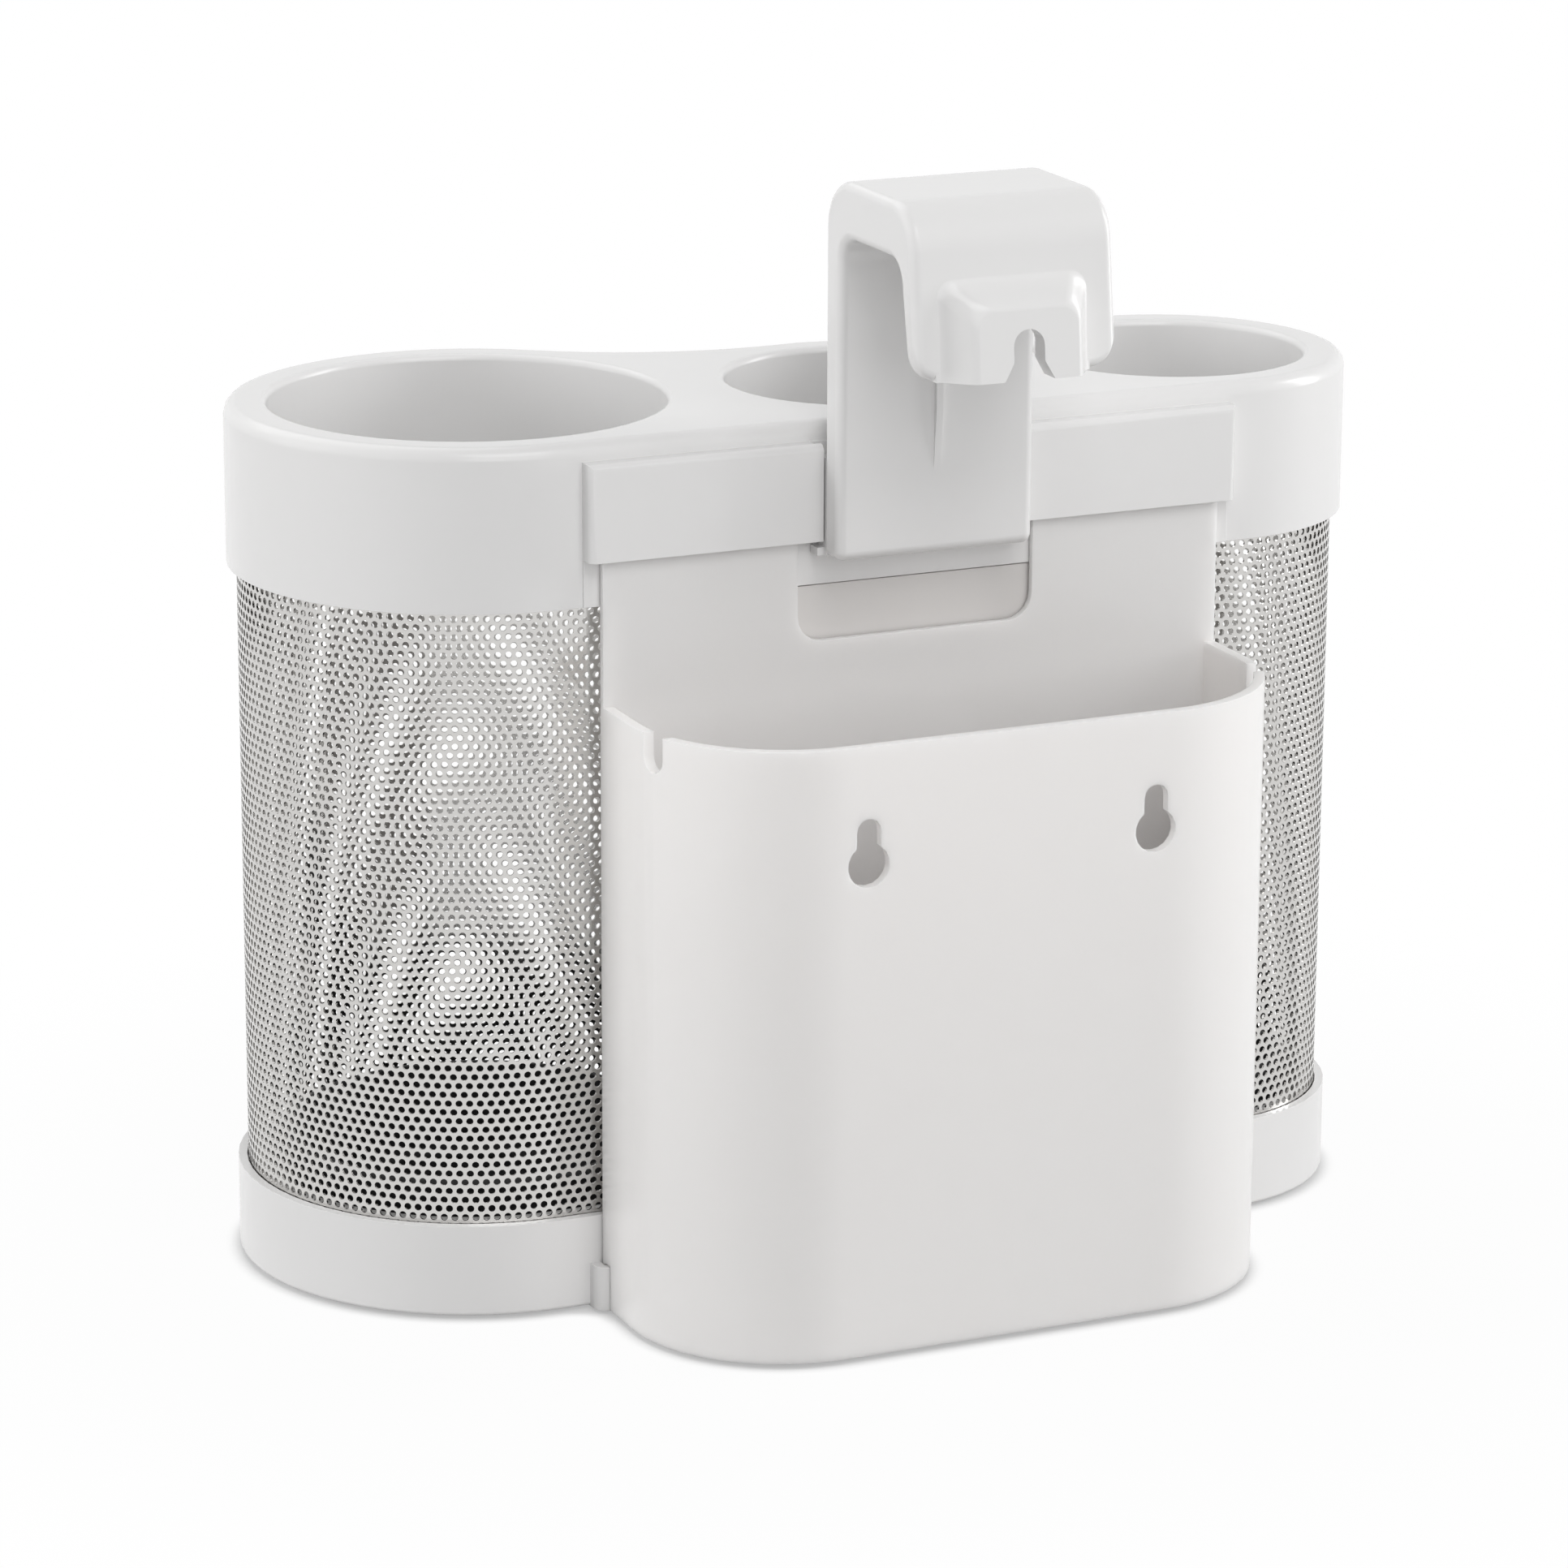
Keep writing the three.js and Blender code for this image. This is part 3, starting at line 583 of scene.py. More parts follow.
@dataclass
class LobedPlan:
    """The plan that the housing, the sleeve and the base share."""

    rim: float = 9.6 * MM
    valley: float = 80.0 * MM
    step: float = 1.5
    lobes: tuple[Lobe, ...] = (
        Lobe("small", (-91.5 * MM, -15.2 * MM), 31.4 * MM, Body.CUP_SMALL),
        Lobe("middle", (-13.1 * MM, -15.2 * MM), 31.4 * MM, Body.CUP_MIDDLE),
        Lobe("large", (77.9 * MM, -28.8 * MM), 45.0 * MM, Body.CUP_LARGE),
    )

    def valley_centre(self, left: Lobe, right: Lobe) -> Point2:
        """Middle of the hollow arc that joins two lobes in front.

        Args:
            left: The lobe on its left.
            right: The lobe on its right.

        Returns:
            The arc's middle in plan.
        """
        between = Vector(right.centre) - Vector(left.centre)
        reach_left = left.hole + self.rim + self.valley
        reach_right = right.hole + self.rim + self.valley
        span = between.length
        along = (reach_left**2 - reach_right**2 + span**2) / (2 * span)
        out = math.sqrt(reach_left**2 - along**2)
        unit = between / span
        middle = Vector(left.centre) + unit * along + Vector((unit.y, -unit.x)) * out
        return (middle.x, middle.y)

    def path(self, inset: float) -> list[Point2]:
        """Open path round the lobes from one rear tangent to the other.

        Args:
            inset: Distance inside the outer face.

        Returns:
            Points in plan, counter-clockwise.
        """
        valleys = [self.valley_centre(a, b) for a, b in zip(self.lobes, self.lobes[1:])]
        points: list[Point2] = []
        for i, lobe in enumerate(self.lobes):
            start = 90.0 if i == 0 else self._angle(lobe.centre, valleys[i - 1]) + 360.0
            end = 450.0 if i == len(valleys) else self._angle(lobe.centre, valleys[i]) + 360.0
            radius = lobe.hole + self.rim - inset
            points += arc(lobe.centre, radius, start, end, round((end - start) / self.step))
            if i == len(valleys):
                break
            start = self._angle(valleys[i], lobe.centre)
            end = self._angle(valleys[i], self.lobes[i + 1].centre)
            steps = round((start - end) / self.step)
            points += arc(valleys[i], self.valley + inset, start, end, steps)[1:-1]
        return points

    @staticmethod
    def _angle(origin: Point2, target: Point2) -> float:
        """Direction from one point to another in degrees."""
        return math.degrees(math.atan2(target[1] - origin[1], target[0] - origin[0]))


@dataclass
class PerforatedSleeve:
    """Perforated sheet that wraps the lobes, with plain edges hidden in the base and the housing."""

    plan: LobedPlan
    material: Material
    inset: float = 2.3 * MM
    sheet: float = 0.5 * MM
    tail: float = 20.0 * MM
    bottom: float = 3.6 * MM
    top: float = 177.3 * MM
    pitch: float = 2.38 * MM
    hole: float = 0.82 * MM
    hole_sides: int = 10
    stagger: float = 0.5
    weld: float = 0.002 * MM
    crease: float = 35.0
    first_row: float = 19.5 * MM
    rows: int = 72
    panels: int = 6

    def sheet_path(self) -> list[Point2]:
        """Path of the sheet's outer face with its straight ends.

        Returns:
            Points in plan, from end to end.
        """
        points = self.plan.path(self.inset)
        start = (points[0][0] + self.tail, points[0][1])
        end = (points[-1][0] - self.tail, points[-1][1])
        return [start, *points, end]

    def build(self) -> None:
        """Makes the perforated panels and the plain edges."""
        path = self.sheet_path()
        length = sum(math.dist(a, b) for a, b in zip(path, path[1:]))
        columns = int(length / self.pitch) - 1
        spare = (length - columns * self.pitch) / 2
        tree = self._tree()
        share = math.ceil(columns / self.panels)
        pieces = []
        for i in range(self.panels):
            first = i * share
            start = spare + (first + self.stagger / 2) * self.pitch
            count = min(share, columns - first)
            pieces.append(self._panel(tree, f"sleeve_panel_{i + 1}", path, start, count))
        tip = self.pitch / math.sqrt(3)
        low = self.first_row - tip
        high = self.first_row + (self.rows - 1) * self.pitch * math.sqrt(3) / 2 + tip
        pieces.append(self._band("sleeve_lower_edge", self.bottom, low))
        pieces.append(self._band("sleeve_upper_edge", high, self.top))
        for piece in pieces:
            dress(piece, self.material, Slot.SHEET, Body.HOLDER, "perforated_sleeve")

    def _band(self, name: str, z0: float, z1: float) -> Object:
        """A plain strip of the sheet between two heights.

        Args:
            name: The piece's name.
            z0: Height of its lower edge.
            z1: Height of its upper edge.

        Returns:
            The strip with a closed mesh.
        """
        outer = self.sheet_path()
        inner = self.plan.path(self.inset + self.sheet)
        rear = inner[0][1]
        loop = [*outer, (outer[-1][0], rear), *reversed(inner), (outer[0][0], rear)]
        shape = bmesh.new()
        base = [shape.verts.new((x, y, z0)) for x, y in loop]
        face = shape.faces.new(base)
        moved = bmesh.ops.extrude_face_region(shape, geom=[face])["geom"]
        tops = [item for item in moved if isinstance(item, BMVert)]
        bmesh.ops.translate(shape, vec=(0, 0, z1 - z0), verts=tops)
        bmesh.ops.triangulate(shape, faces=[f for f in shape.faces if len(f.verts) > 4])
        bmesh.ops.recalc_face_normals(shape, faces=shape.faces)
        piece = shaped_piece(name, shape)
        smooth(piece.data)
        return piece

    def _panel(self, tree: NodeTree, name: str, path: list[Point2], start: float, count: int) -> Object:
        """One panel of whole perforated cells.

        Args:
            tree: The perforation tree.
            name: The piece's name.
            path: Path of the sheet's outer face.
            start: Length on the path before the middle of the first cell.
            count: The number of columns.

        Returns:
            The panel as a plain mesh.
        """
        mesh = bpy.data.meshes.new(name)
        links = [(i, i + 1) for i in range(len(path) - 1)]
        mesh.from_pydata([(x, y, 0.0) for x, y in path], links, [])
        piece = new_piece(name, mesh)
        modifier = piece.modifiers.new("perforations", "NODES")
        modifier.node_group = tree
        values = {
            "Pitch": self.pitch,
            "Hole Radius": self.hole,
            "Hole Sides": self.hole_sides,
            "Sheet": self.sheet,
            "First Row": self.first_row,
            "Rows": self.rows,
            "Columns": count,
            "Start": start,
            "Finish": self.material,
        }
        for item in tree.interface.items_tree:
            if item.in_out == "INPUT" and item.name in values:
                modifier[item.identifier] = values[item.name]
        bake_modifiers(piece)
        smooth(piece.data, self.crease)
        return piece

    def _tree(self) -> NodeTree:
        """Builds the tree that repeats a six-sided cell and wraps the cells round a path.

        Returns:
            A tree with named inputs for the sheet's sizes.
        """
        tree = bpy.data.node_groups.new("perforated_sheet", "GeometryNodeTree")
        graph = NodeGraph(tree)
        inputs = {
            "Path": "Geometry",
            "Pitch": "Float",
            "Hole Radius": "Float",
            "Hole Sides": "Int",
            "Sheet": "Float",
            "First Row": "Float",
            "Rows": "Int",
            "Columns": "Int",
            "Start": "Float",
            "Finish": "Material",
        }
        for name, kind in inputs.items():
            tree.interface.new_socket(name, in_out="INPUT", socket_type=f"NodeSocket{kind}")
        tree.interface.new_socket("Geometry", in_out="OUTPUT", socket_type="NodeSocketGeometry")
        given = graph.node("NodeGroupInput")

        # One cell: front, back and the wall of the hole, open towards the next cells
        pitch = given.output("Pitch")
        sheet = given.output("Sheet")
        circle = "GeometryNodeCurvePrimitiveCircle"
        hexagon = graph.node(circle, None, {"Resolution": 6, "Radius": pitch / math.sqrt(3)})
        turned = {"Geometry": hexagon, "Rotation": (0.0, 0.0, math.radians(30.0))}
        hexagon = graph.node("GeometryNodeTransform", None, turned)
        sides = given.output("Hole Sides")
        radius = given.output("Hole Radius")
        hole = graph.node(circle, None, {"Resolution": sides, "Radius": radius})
        outline = graph.node("GeometryNodeJoinGeometry", None, {0: [hexagon, hole]})
        front = graph.node("GeometryNodeFillCurve", None, {0: outline})
        depth = graph.node("ShaderNodeCombineXYZ", None, {"Z": 0.0 - sheet})
        back = graph.node("GeometryNodeTransform", None, {"Geometry": front, "Translation": depth})
        back = graph.node("GeometryNodeFlipFaces", None, {"Mesh": back})
        rim = graph.node("GeometryNodeMeshCircle", None, {"Vertices": sides, "Radius": radius})
        down = {"Mesh": rim, "Offset": depth, "Offset Scale": 1.0}
        wall = graph.node("GeometryNodeExtrudeMesh", {"mode": "EDGES"}, down)
        wall = graph.node("GeometryNodeFlipFaces", None, {"Mesh": wall})
        cell = graph.node("GeometryNodeJoinGeometry", None, {0: [front, back, wall]})

        # Staggered rows of cells on a flat sheet
        index = graph.node("GeometryNodeInputIndex")
        rows = given.output("Rows")
        row = index % rows
        column = (index / rows).floored()
        along = given.output("Start") + (column + (row % 2.0) * self.stagger) * pitch
        height = given.output("First Row") + row * pitch * (math.sqrt(3) / 2)
        spot = graph.node("ShaderNodeCombineXYZ", None, {"X": along, "Z": height})
        points = graph.node("GeometryNodePoints", None, {0: rows * given.output("Columns"), 1: spot})
        upright = {"Points": points, "Instance": cell, "Rotation": (math.radians(90.0), 0.0, 0.0)}
        cells = graph.node("GeometryNodeInstanceOnPoints", None, upright)
        flat = graph.node("GeometryNodeRealizeInstances", None, {0: cells})
        flat = graph.node("GeometryNodeMergeByDistance", None, {"Geometry": flat, "Distance": self.weld})

        # The panel's border closes the gap between front and back
        here = graph.node("ShaderNodeSeparateXYZ", None, {0: graph.node("GeometryNodeInputPosition")})
        inward = here.output("Y")
        faces = graph.node("GeometryNodeInputMeshEdgeNeighbors")
        border = (2.0 - faces).above(0.5) * (sheet - inward * 2.0).above(0.0)
        across = graph.node("ShaderNodeCombineXYZ", None, {"Y": sheet})
        edge = {"Mesh": flat, "Selection": border, "Offset": across, "Offset Scale": 1.0}
        flat = graph.node("GeometryNodeExtrudeMesh", {"mode": "EDGES"}, edge)
        flat = graph.node("GeometryNodeMergeByDistance", None, {"Geometry": flat, "Distance": self.weld})

        # The flat sheet follows the path
        curve = graph.node("GeometryNodeMeshToCurve", None, {0: given.output("Path")})
        follow = {"Curves": curve, "Length": here}
        on_path = graph.node("GeometryNodeSampleCurve", {"mode": "LENGTH"}, follow, "Position")
        way = graph.node("ShaderNodeSeparateXYZ", None, {0: on_path.output("Tangent")})
        x = way.output("Y") * inward * -1.0
        y = way.output("X") * inward
        offset = graph.node("ShaderNodeCombineXYZ", None, {"X": x, "Y": y, "Z": here.output("Z")})
        moved = graph.node("ShaderNodeVectorMath", {"operation": "ADD"}, {0: on_path, 1: offset})
        wrapped = graph.node("GeometryNodeSetPosition", None, {"Geometry": flat, "Position": moved})
        finish = {"Geometry": wrapped, "Material": given.output("Finish")}
        made = graph.node("GeometryNodeSetMaterial", None, finish)
        graph.node("NodeGroupOutput", None, {"Geometry": made})
        return tree


@dataclass
class HeatCups:
    """Silicone cups that stand on the base inside the sleeve."""

    plan: LobedPlan
    material: Material
    gap: float = 0.6 * MM
    bead: float = 0.8 * MM
    wall: float = 2.0 * MM
    floor: float = 2.4 * MM
    low: float = 3.6 * MM
    height: float = 25.4 * MM
    foot_round: float = 3.0 * MM
    rim_edge: float = 0.2 * MM
    steps: int = 6
    segments: int = 96

    def build(self) -> None:
        """Makes one cup for each lobe."""
        for lobe in self.plan.lobes:
            shape = lathe(self.profile(lobe.hole), lobe.centre, self.segments)
            piece = shaped_piece(f"silicone_cup_{lobe.name}", shape)
            smooth(piece.data)
            dress(piece, self.material, Slot.CUP, lobe.body, f"heat_cup_{lobe.name}")

    def profile(self, hole: float) -> list[Point2]:
        """Section of a cup.

        Args:
            hole: Radius of the hole above the cup.

        Returns:
            Radius and height of each point, from the axis below to the axis inside.
        """
        outer = hole - self.gap
        wall = outer - self.bead
        inner = wall - self.wall
        high = self.low + self.height
        below = (wall - self.foot_round, self.low + self.foot_round)
        foot = arc(below, self.foot_round, -90, 0, self.steps)
        bead_middle = (outer - self.bead, high - 1.5 * self.bead)
        bead = [(wall, high - 3 * self.bead), *arc(bead_middle, self.bead, -70, 80, self.steps)]
        edge = self.rim_edge
        rim = [(outer - 2 * self.bead, high), (inner + edge, high), (inner, high - edge)]
        bowl = self.low + self.floor + self.foot_round
        inside = arc((inner - self.foot_round, bowl), self.foot_round, 0, -90, self.steps)
        return [(0.0, self.low), *foot, *bead, *rim, *inside, (0.0, self.low + self.floor)]


@dataclass
class RubberFeet:
    """Discs under the base, with softened edges."""

    material: Material
    radius: float = 6.0 * MM
    height: float = 1.6 * MM
    edge: float = 0.35 * MM
    steps: int = 4
    segments: int = 48
    nodes: tuple[str, ...] = tuple(
        f"rubber_foot_{side}_{end}" for side in ("large", "small") for end in ("front", "rear")
    )

    def build(self) -> None:
        """Makes a foot over each solid."""
        soft = arc((self.radius - self.edge, self.edge), self.edge, -90, 0, self.steps)
        profile = [(0.0, 0.0), *soft, (self.radius, self.height), (0.0, self.height)]
        for node in self.nodes:
            low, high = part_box(node)
            middle = (low + high) / 2
            shape = lathe(profile, (middle.x, middle.y), self.segments)
            piece = shaped_piece(node.replace("rubber_", "soft_"), shape)
            smooth(piece.data)
            dress(piece, self.material, Slot.FOOT, Body.HOLDER, node)


@dataclass
class MouldedPart:
    """A moulded solid with its sharp edges eased."""

    node: str
    name: str
    slot: Slot
    body: Body
    material: Material
    edge: float = 0.4 * MM

    def build(self) -> None:
        """Makes a copy of the solid with rounded edges."""
        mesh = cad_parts[self.node].data.copy()
        mesh.name = self.name
        piece = new_piece(self.name, mesh)
        self._refine(piece)
        ease_edges(piece, self.edge)
        dress(piece, self.material, self.slot, self.body, self.node)

    def _refine(self, piece: Object) -> None:
        """Leaves the solid's form as it is."""


@dataclass
class BaseTray(MouldedPart):
    """The moulded base, with a low inner lip and round clips for the bin."""

    lip_top: float = 24.8 * MM
    lip_drop: float = 2.0 * MM
    clip_sides: Point2 = (-84.9 * MM, 71.3 * MM)
    clip_front: float = 30.7 * MM
    clip_top: float = 11.1 * MM
    clip_round: float = 3.4 * MM
    clip_steps: int = 10
    near: float = 0.1 * MM
    beyond: float = 1.0 * MM

    def _refine(self, piece: Object) -> None:
        """Lowers the inner lip and rounds the clips.

        Args:
            piece: The copy of the solid.
        """
        shape = cleaned(piece.data, WELD)
        for point in shape.verts:
            if abs(point.co.z - self.lip_top) < self.near:
                point.co.z -= self.lip_drop
        keep(shape, piece.data)
        for outer, side in zip(self.clip_sides, (-1, 1)):
            change(piece, self._corner(outer, side), "DIFFERENCE")

    def _corner(self, outer: float, side: int) -> BMesh:
        """What is cut away to round a clip's outer corner.

        Args:
            outer: Place of the clip's outer side.
            side: Direction from the bin to the clip along X.

        Returns:
            An upright closed mesh.
        """
        middle = (-self.clip_round, self.clip_front - self.clip_round)
        curve = arc(middle, self.clip_round, 0, 90, self.clip_steps)
        far = self.clip_front + self.beyond
        corner = [*curve, (middle[0], far), (self.beyond, far), (self.beyond, middle[1])]
        levels = (-self.beyond, self.clip_top + self.beyond)
        return loft([[Vector((outer + side * x, y, z)) for x, y in corner] for z in levels])


@dataclass
class HangingHook:
    """Hook over a towel bar, with soft edges and a boss that swells from its lip."""

    material: Material
    middle: float = -6.8 * MM
    width: float = 47.7 * MM
    back: float = 30.7 * MM
    leg: float = 8.0 * MM
    gap: float = 30.7 * MM
    lip: float = 6.1 * MM
    foot: float = 170.8 * MM
    top: float = 256.0 * MM
    arch: float = 12.5 * MM
    lip_drop: float = 37.3 * MM
    lean: float = 2.4 * MM
    outer_round: float = 11.0 * MM
    inner_round: float = 6.0 * MM
    tip_round: float = 2.5 * MM
    edge_round: float = 2.2 * MM
    edge_steps: int = 9
    lip_corner: float = 6.0 * MM
    boss_offset: float = -0.5 * MM
    boss_reach: Point2 = (-16.85 * MM, 19.6 * MM)
    boss_ramps: Point2 = (5.2 * MM, -8.2 * MM)
    boss_height: float = 22.1 * MM
    boss_proud: float = 5.5 * MM
    boss_top_ramp: float = 7.2 * MM
    boss_corner: float = 4.0 * MM
    pocket_wall: float = 5.4 * MM
    pocket: Point3 = (18.6 * MM, 13.7 * MM, 3.0 * MM)
    notch_width: float = 7.3 * MM
    notch_height: float = 11.0 * MM
    notch_mouth: float = 11.8 * MM
    notch_flare: float = 4.0 * MM
    rib_width: float = 1.6 * MM
    rib_proud: float = 1.2 * MM
    rib_drop: float = 53.5 * MM
    rib_taper: float = 14.0 * MM
    flange_reach: float = 1.2 * MM
    flange_back: float = 26.6 * MM
    flange_front: float = 28.4 * MM
    flange_span: Point2 = (174.2 * MM, 192.8 * MM)
    tab_front: float = 30.4 * MM
    tab_height: float = 1.8 * MM
    neck_play: float = 0.6 * MM
    neck_root: float = 1.0 * MM
    spare: float = 2.0 * MM
    edge: float = 0.5 * MM
    steps: int = 8

    @property
    def leg_face(self) -> float:
        """Face of the leg towards the lip."""
        return self.back + self.leg

    @property
    def lip_inner(self) -> float:
        """Face of the lip towards the leg, at its root."""
        return self.leg_face + self.gap

    @property
    def lip_outer(self) -> float:
        """Outer face of the lip, at its root."""
        return self.lip_inner + self.lip

    @property
    def lip_low(self) -> float:
        """Height of the lip's lower end."""
        return self.top - self.lip_drop

    @property
    def boss_middle(self) -> float:
        """Middle of the boss across the hook."""
        return self.middle + self.boss_offset

    @property
    def boss_face(self) -> float:
        """Outermost face of the boss."""
        return self.lip_outer + self.lean + self.boss_proud

    def build(self) -> None:
        """Joins the hook's forms and eases its edges."""
        piece = shaped_piece("moulded_hook", self._body())
        change(piece, self._boss(), "UNION")
        for tool in (self._pocket(), self._notch()):
            change(piece, tool, "DIFFERENCE")
        for addition in (self._rib(), *self._slides()):
            change(piece, addition, "UNION")
        ease_edges(piece, self.edge)
        dress(piece, self.material, Slot.WHITE, Body.HOOK, "hanging_hook")

    def _profile(self, inset: float, lift: float) -> list[Point2]:
        """Outline of the hook from the side.

        Args:
            inset: Distance inside the true outline.
            lift: Height of the lip's end above its lowest place.

        Returns:
            Points in Y and Z.
        """
        steps = self.steps
        inner = self.inner_round + inset
        outer = self.outer_round - inset
        tip = self.tip_round - inset
        spring = self.top - self.arch - self.inner_round
        crown = self.top - self.outer_round
        low = self.lip_low + self.tip_round + lift
        tip_in = self.lip_inner + self.lean + self.tip_round
        tip_out = self.lip_outer + self.lean - self.tip_round
        return [
            (self.back + inset, self.foot + inset),
            *arc((self.leg_face - self.tip_round, self.foot + self.tip_round), tip, -90, 0, steps),
            *arc((self.leg_face + self.inner_round, spring), inner, 180, 90, steps),
            *arc((self.lip_inner - self.inner_round, spring), inner, 90, 0, steps),
            *arc((tip_in, low), tip, 180, 270, steps),
            *arc((tip_out, low), tip, 270, 360, steps),
            *arc((self.lip_outer - self.outer_round, crown), outer, 0, 90, 2 * steps),
            *arc((self.back + self.outer_round, crown), outer, 90, 180, 2 * steps),
        ]

    def _body(self) -> BMesh:
        """The bent strip with rounded side edges and rounded lower corners of its lip.

        Returns:
            The strip as a closed mesh.
        """
        cuts = arc((self.edge_round, self.edge_round), self.edge_round, 180, 270, self.edge_steps)
        rest = self.lip_corner - self.edge_round
        cuts += [(self.edge_round + rest * i / self.steps, 0.0) for i in range(1, self.steps + 1)]
        sides = []
        for depth, inset in cuts:
            lift = self.lip_corner - math.sqrt(self.lip_corner**2 - (self.lip_corner - depth) ** 2)
            sides.append((self.width / 2 - depth, self._profile(inset, lift)))
        sides = [(-out, outline) for out, outline in sides] + sides[::-1]
        return loft([[Vector((self.middle + out, y, z)) for y, z in outline] for out, outline in sides])

    def _boss(self) -> BMesh:
        """The boss, whose sides and top rise from the lip in a soft double curve.

        Returns:
            The boss as a closed mesh, rooted in the lip.
        """
        rings = []
        count = 3 * self.steps
        crown = self.top - self.outer_round
        for step in range(-1, count + 1):
            share = max(step, 0) / count
            left, right = (
                self.boss_middle + reach + ramp * share
                for reach, ramp in zip(self.boss_reach, self.boss_ramps)
            )
            high = self.lip_low + self.boss_height - self.boss_top_ramp * share
            rise = -self.lip / 2 if step < 0 else self.boss_proud * share**2 * (3.0 - 2.0 * share)
            outline = arch_outline((left, self.lip_low), (right, high), self.boss_corner, self.steps)
            ring = []
            for x, z in outline:
                lean = self.lean * (crown - z) / (crown - self.lip_low)
                ring.append(Vector((x, self.lip_outer + lean + rise, z)))
            rings.append(ring)
        return loft(rings)

    def _pocket(self) -> BMesh:
        """The pocket behind the boss, open towards the leg and downward.

        Returns:
            What is cut out of the lip and the boss.
        """
        width, height, corner = self.pocket
        low = (self.boss_middle - width / 2, self.lip_low - self.spare)
        high = (self.boss_middle + width / 2, self.lip_low + height)
        outline = arch_outline(low, high, corner, self.steps)
        return upright_prism(outline, self.lip_inner - self.spare, self.boss_face - self.pocket_wall)

    def _notch(self) -> BMesh:
        """The bell-mouthed notch through the lip and its boss.

        Returns:
            What is cut out of the lip and the boss.
        """
        half = self.notch_width / 2
        mouth = self.notch_mouth / 2
        flare = self.lip_low + self.notch_flare
        head = (self.boss_middle, self.lip_low + self.notch_height - half)
        outline = [
            (self.boss_middle - mouth, self.lip_low - self.spare),
            (self.boss_middle + mouth, self.lip_low - self.spare),
            (self.boss_middle + mouth, self.lip_low),
            (self.boss_middle + half, flare),
            *arc(head, half, 0, 180, 2 * self.steps),
            (self.boss_middle - half, flare),
            (self.boss_middle - mouth, self.lip_low),
        ]
        return upright_prism(outline, self.lip_inner - self.spare, self.boss_face + self.spare)

    def _rib(self) -> BMesh:
        """The grip rib on the leg, which fades out at its lower end.

        Returns:
            The rib as a closed mesh, rooted in the leg.
        """
        root = self.leg_face - self.leg / 2
        face = self.leg_face + self.rib_proud
        under = self.top - self.arch
        low = under - self.rib_drop
        outline = [(root, low), (self.leg_face, low), (face, low + self.rib_taper)]
        outline += [(face, under + self.spare), (root, under + self.spare)]
        sides = (self.middle - self.rib_width / 2, self.middle + self.rib_width / 2)
        return loft([[Vector((x, y, z)) for y, z in outline] for x in sides])

    def _slides(self) -> list[BMesh]:
        """The neck and flange in the bar's slot, and the tabs below the bar.

        Returns:
            Three boxes, the first rooted in the leg.
        """
        half = self.width / 2 + self.flange_reach
        neck = self.width / 2 - self.neck_play
        root = self.back + self.neck_root
        left, right = self.middle - half, self.middle + half
        low, high = self.flange_span
        tab_top = self.foot + self.tab_height
        return [
            block((self.middle - neck, self.flange_back, self.foot), (self.middle + neck, root, high)),
            block((left, self.flange_back, low), (right, self.flange_front, high)),
            block((left, self.flange_back, self.foot), (right, self.tab_front, tab_top)),
        ]


@dataclass(frozen=True)
class SoftLamp:
    """A rectangular soft lamp that faces the object."""

    name: str
    place: Point3
    size: Point2
    power: float
    mirrored: bool = True
    aim: Point3 = (0.0, 0.0, 0.12)

    def hang(self) -> None:
        """Adds the lamp, and keeps it out of gloss where its image would glare."""
        data = bpy.data.lights.new(self.name, "AREA")
        data.shape = "RECTANGLE"
        data.size, data.size_y = self.size
        data.energy = self.power
        lamp = bpy.data.objects.new(self.name, data)
        lamp.location = self.place
        way = Vector(self.aim) - Vector(self.place)
        lamp.rotation_euler = way.to_track_quat("-Z", "Y").to_euler()
        lamp.visible_glossy = self.mirrored
        bpy.context.scene.collection.objects.link(lamp)


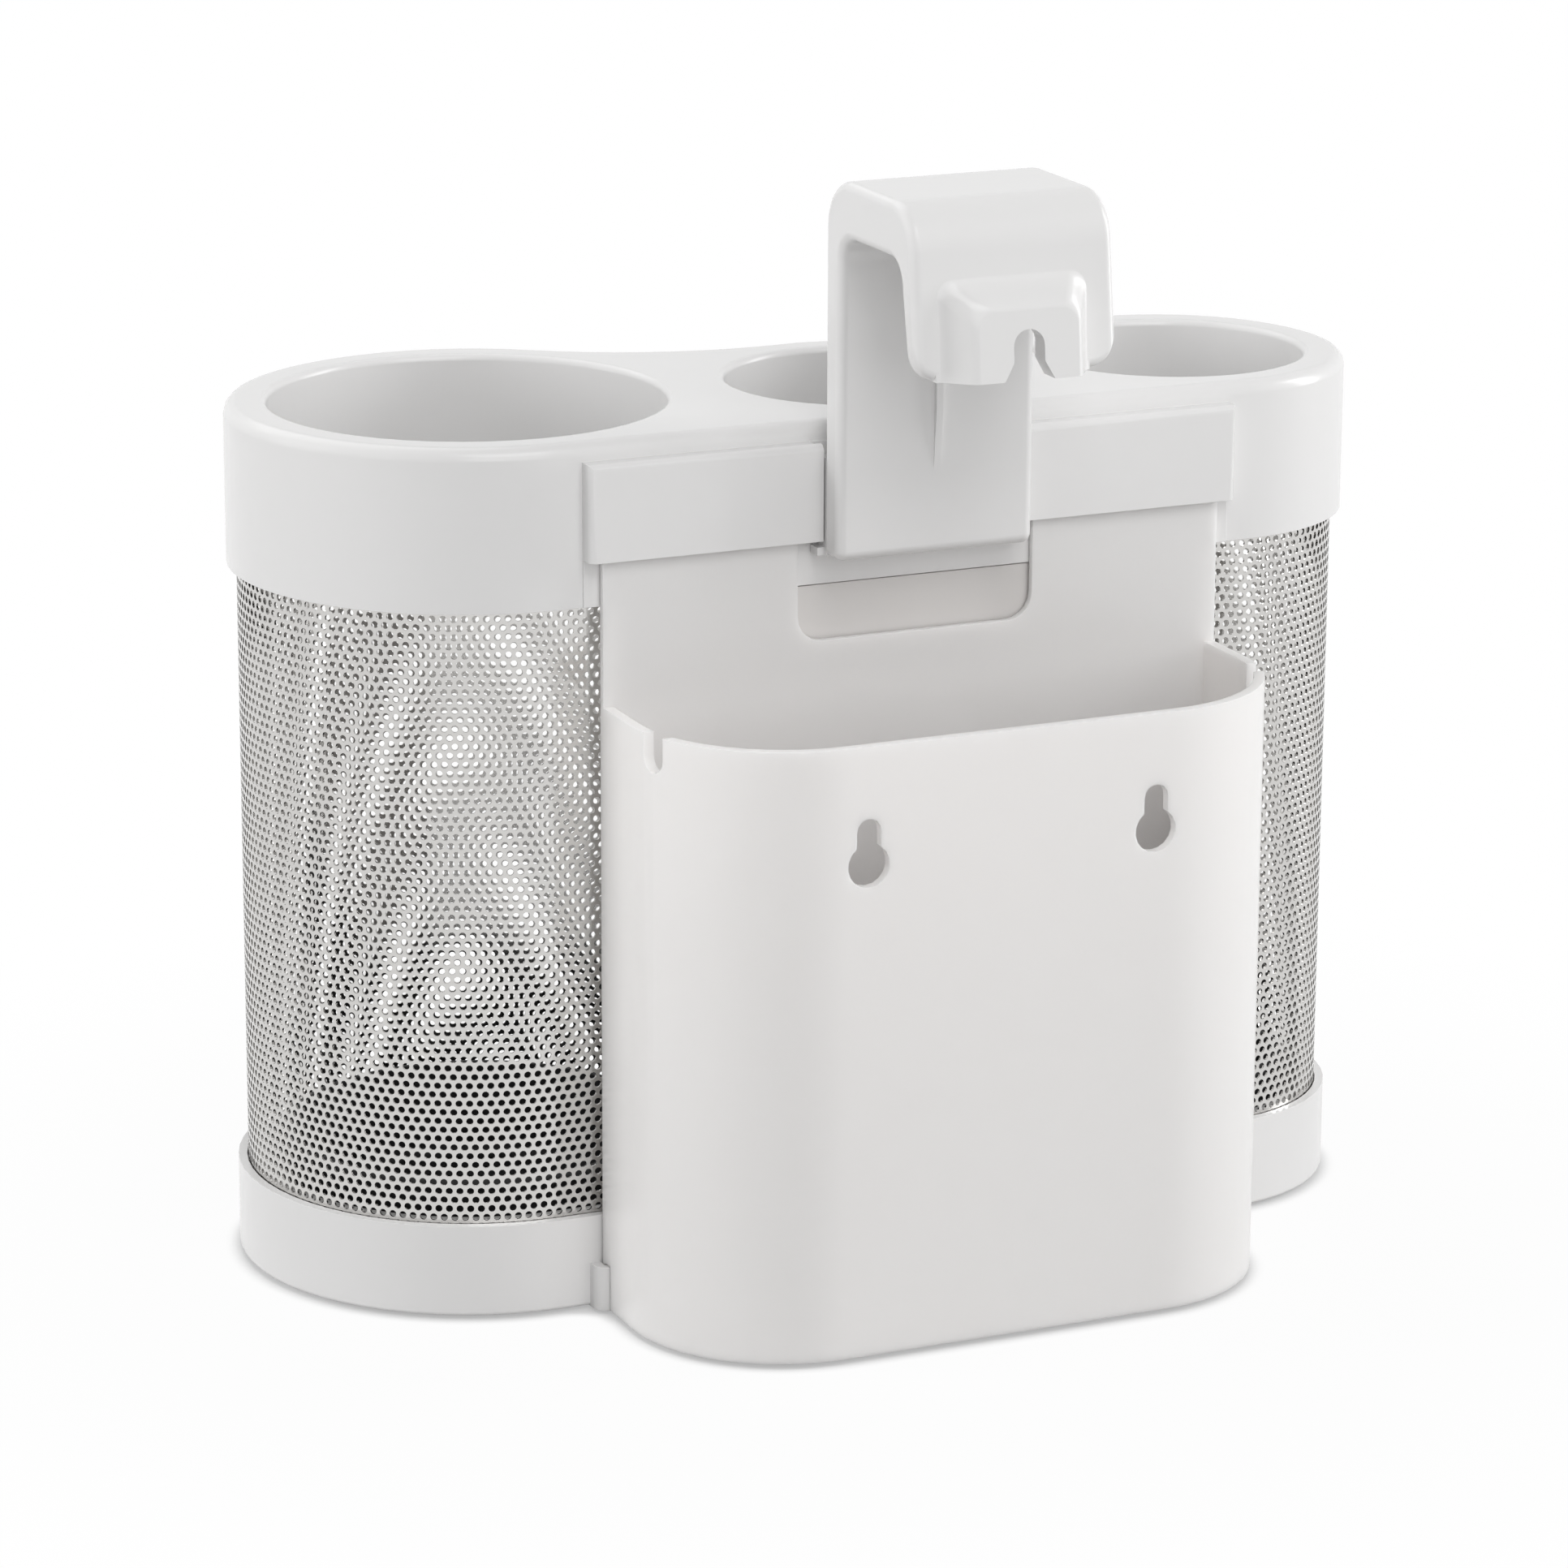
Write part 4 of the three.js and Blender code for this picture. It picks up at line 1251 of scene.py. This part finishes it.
@dataclass
class Studio:
    """Pale floor, white surround, soft lamps and the camera."""

    focal_px: float = 7603.4
    frame_px: float = 1932.0
    azimuth: float = 156.03
    elevation: float = 15.92
    roll: float = -0.24
    eye: Point3 = (0.5626, 1.2371, 0.4960)
    sensor: float = 36.0
    clip: Point2 = (0.05, 50.0)
    surround: float = 0.2
    lamps: tuple[SoftLamp, ...] = (
        SoftLamp("lamp_top", (0.3, -1.1, 1.5), (1.4, 1.4), 6.5),
        SoftLamp("lamp_high", (0.0, 1.3, 1.6), (1.2, 1.0), 12.0),
        SoftLamp("lamp_front", (0.2, 1.95, 0.7), (1.4, 1.0), 8.5),
        SoftLamp("lamp_left", (1.7, -0.6, 0.7), (0.8, 1.4), 18.0, mirrored=False),
        SoftLamp("lamp_right", (-1.8, 0.4, 0.7), (0.6, 1.6), 18.0),
    )
    floor_half: float = 6.0
    floor_cloud: float = 3.0
    floor_tones: tuple[Colour, Colour] = ((0.59, 0.59, 0.59, 1.0), (0.61, 0.61, 0.61, 1.0))
    contact_reach: float = 0.007
    fade: dict[str, float] = field(
        default_factory=lambda: {"From Min": 0.12, "From Max": 0.3, "To Min": 0.96, "To Max": 1.0}
    )
    # Occlusion to glow share near the parts: painted contact shade on top of the real shadow
    painted_contact_shade: dict[str, float] = field(
        default_factory=lambda: {"From Min": 0.45, "From Max": 0.8, "To Min": 0.4, "To Max": 1.0}
    )

    def build(self) -> None:
        """Makes the floor, the surround, the lamps and the camera."""
        bpy.context.scene.view_settings.view_transform = "Standard"
        self._floor()
        self._surround()
        for lamp in self.lamps:
            lamp.hang()
        self._camera()

    @staticmethod
    def _seen(graph: NodeGraph) -> Value:
        """One for rays that show the background: straight, mirrored or passed through.

        Args:
            graph: The tree that gets the test.

        Returns:
            One or zero.
        """
        path = graph.node("ShaderNodeLightPath", output="Is Camera Ray")
        shown = path + path.output("Is Glossy Ray") + path.output("Is Transmission Ray")
        return shown.above(0.5)

    def _floor(self) -> None:
        """A large pale floor that stays near white and keeps the real shadow, with painted contact shade
        where parts stand close.
        """
        graph = ShaderGraph("pale_floor")
        tone = graph.mix(graph.noise(self.floor_cloud), *self.floor_tones)
        matt = graph.node("ShaderNodeBsdfDiffuse", None, {"Color": tone})
        glow = graph.node("ShaderNodeEmission", None, {"Color": WHITE, "Strength": 1.0})
        away = graph.node("ShaderNodeVectorMath", {"operation": "LENGTH"}, {0: graph.place}, "Value")
        reach = {"Distance": self.contact_reach}
        # Near the parts ambient occlusion turns the glow off and the darker matt floor shows: partly the
        # real shadow, partly painted contact shade
        open_sky = graph.node("ShaderNodeAmbientOcclusion", None, reach, "AO")
        ease = {"interpolation_type": "SMOOTHSTEP"}
        fade = graph.node("ShaderNodeMapRange", ease, {"Value": away, **self.fade})
        painted_contact_shade = graph.node("ShaderNodeMapRange", ease, {"Value": open_sky, **self.painted_contact_shade})
        share = self._seen(graph) * fade * painted_contact_shade
        material = graph.finish(graph.node("ShaderNodeMixShader", None, {0: share, 1: matt, 2: glow}))
        mesh = bpy.data.meshes.new("floor")
        half = self.floor_half
        corners = [(-half, -half, 0.0), (half, -half, 0.0), (half, half, 0.0), (-half, half, 0.0)]
        mesh.from_pydata(corners, [], [(0, 1, 2, 3)])
        mesh.materials.append(material)
        new_piece("floor", mesh)

    def _surround(self) -> None:
        """A white surround that lights the object at a plain level."""
        world = bpy.data.worlds.new("white_surround")
        world.use_nodes = True
        bpy.context.scene.world = world
        graph = NodeGraph(world.node_tree)
        strength = self.surround + self._seen(graph) * (1.0 - self.surround)
        sky = graph.node("ShaderNodeBackground", None, {"Color": WHITE, "Strength": strength})
        graph.node("ShaderNodeOutputWorld", None, {"Surface": sky})

    def _camera(self) -> None:
        """The camera at the photograph's viewpoint."""
        turn = math.radians(self.azimuth)
        rise = math.radians(self.elevation)
        tilt = math.radians(self.roll)
        level = Vector((math.sin(turn), -math.cos(turn), 0.0)) * math.cos(rise)
        back = level + Vector((0.0, 0.0, math.sin(rise)))
        right = Vector((0, 0, 1)).cross(back).normalized()
        up = back.cross(right)
        across = right * math.cos(tilt) - up * math.sin(tilt)
        above = back.cross(across)
        data = bpy.data.cameras.new("photo_camera")
        data.sensor_width = self.sensor
        data.lens = self.sensor * self.focal_px / self.frame_px
        data.clip_start, data.clip_end = self.clip
        camera = bpy.data.objects.new("photo_camera", data)
        axes = Matrix((across, above, back)).transposed()
        camera.matrix_world = Matrix.Translation(Vector(self.eye)) @ axes.to_4x4()
        bpy.context.scene.collection.objects.link(camera)
        bpy.context.scene.camera = camera


def main() -> None:
    """Builds the pieces in order and reports them."""
    logging.basicConfig(level=logging.INFO, format="%(name)s: %(message)s")
    Studio().build()
    white, warm, painted_shade_spine, steel, screw_steel, silicone, rubber = (finish.make() for finish in FINISHES)
    plan = LobedPlan()
    MouldedPart("top_housing", "moulded_housing", Slot.WHITE, Body.HOLDER, white).build()
    BaseTray("base_tray", "moulded_base", Slot.WHITE, Body.HOLDER, white).build()
    # The spine takes the darker plastic, which is painted shade for the window's recess
    MouldedPart("rear_spine", "moulded_spine", Slot.WHITE, Body.HOLDER, painted_shade_spine).build()
    MouldedPart("cord_bin", "moulded_cord_bin", Slot.BIN, Body.HOLDER, warm, edge=0.8 * MM).build()
    HangingHook(white).build()
    PerforatedSleeve(plan, steel).build()
    HeatCups(plan, silicone).build()
    RubberFeet(rubber).build()
    for name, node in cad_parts.items():
        if name.startswith("spine_screw"):
            node.data.materials.clear()
            node.data.materials.append(screw_steel)
            log.info("%s: %d faces", name, len(node.data.polygons))


if __name__ == "__main__":
    main()
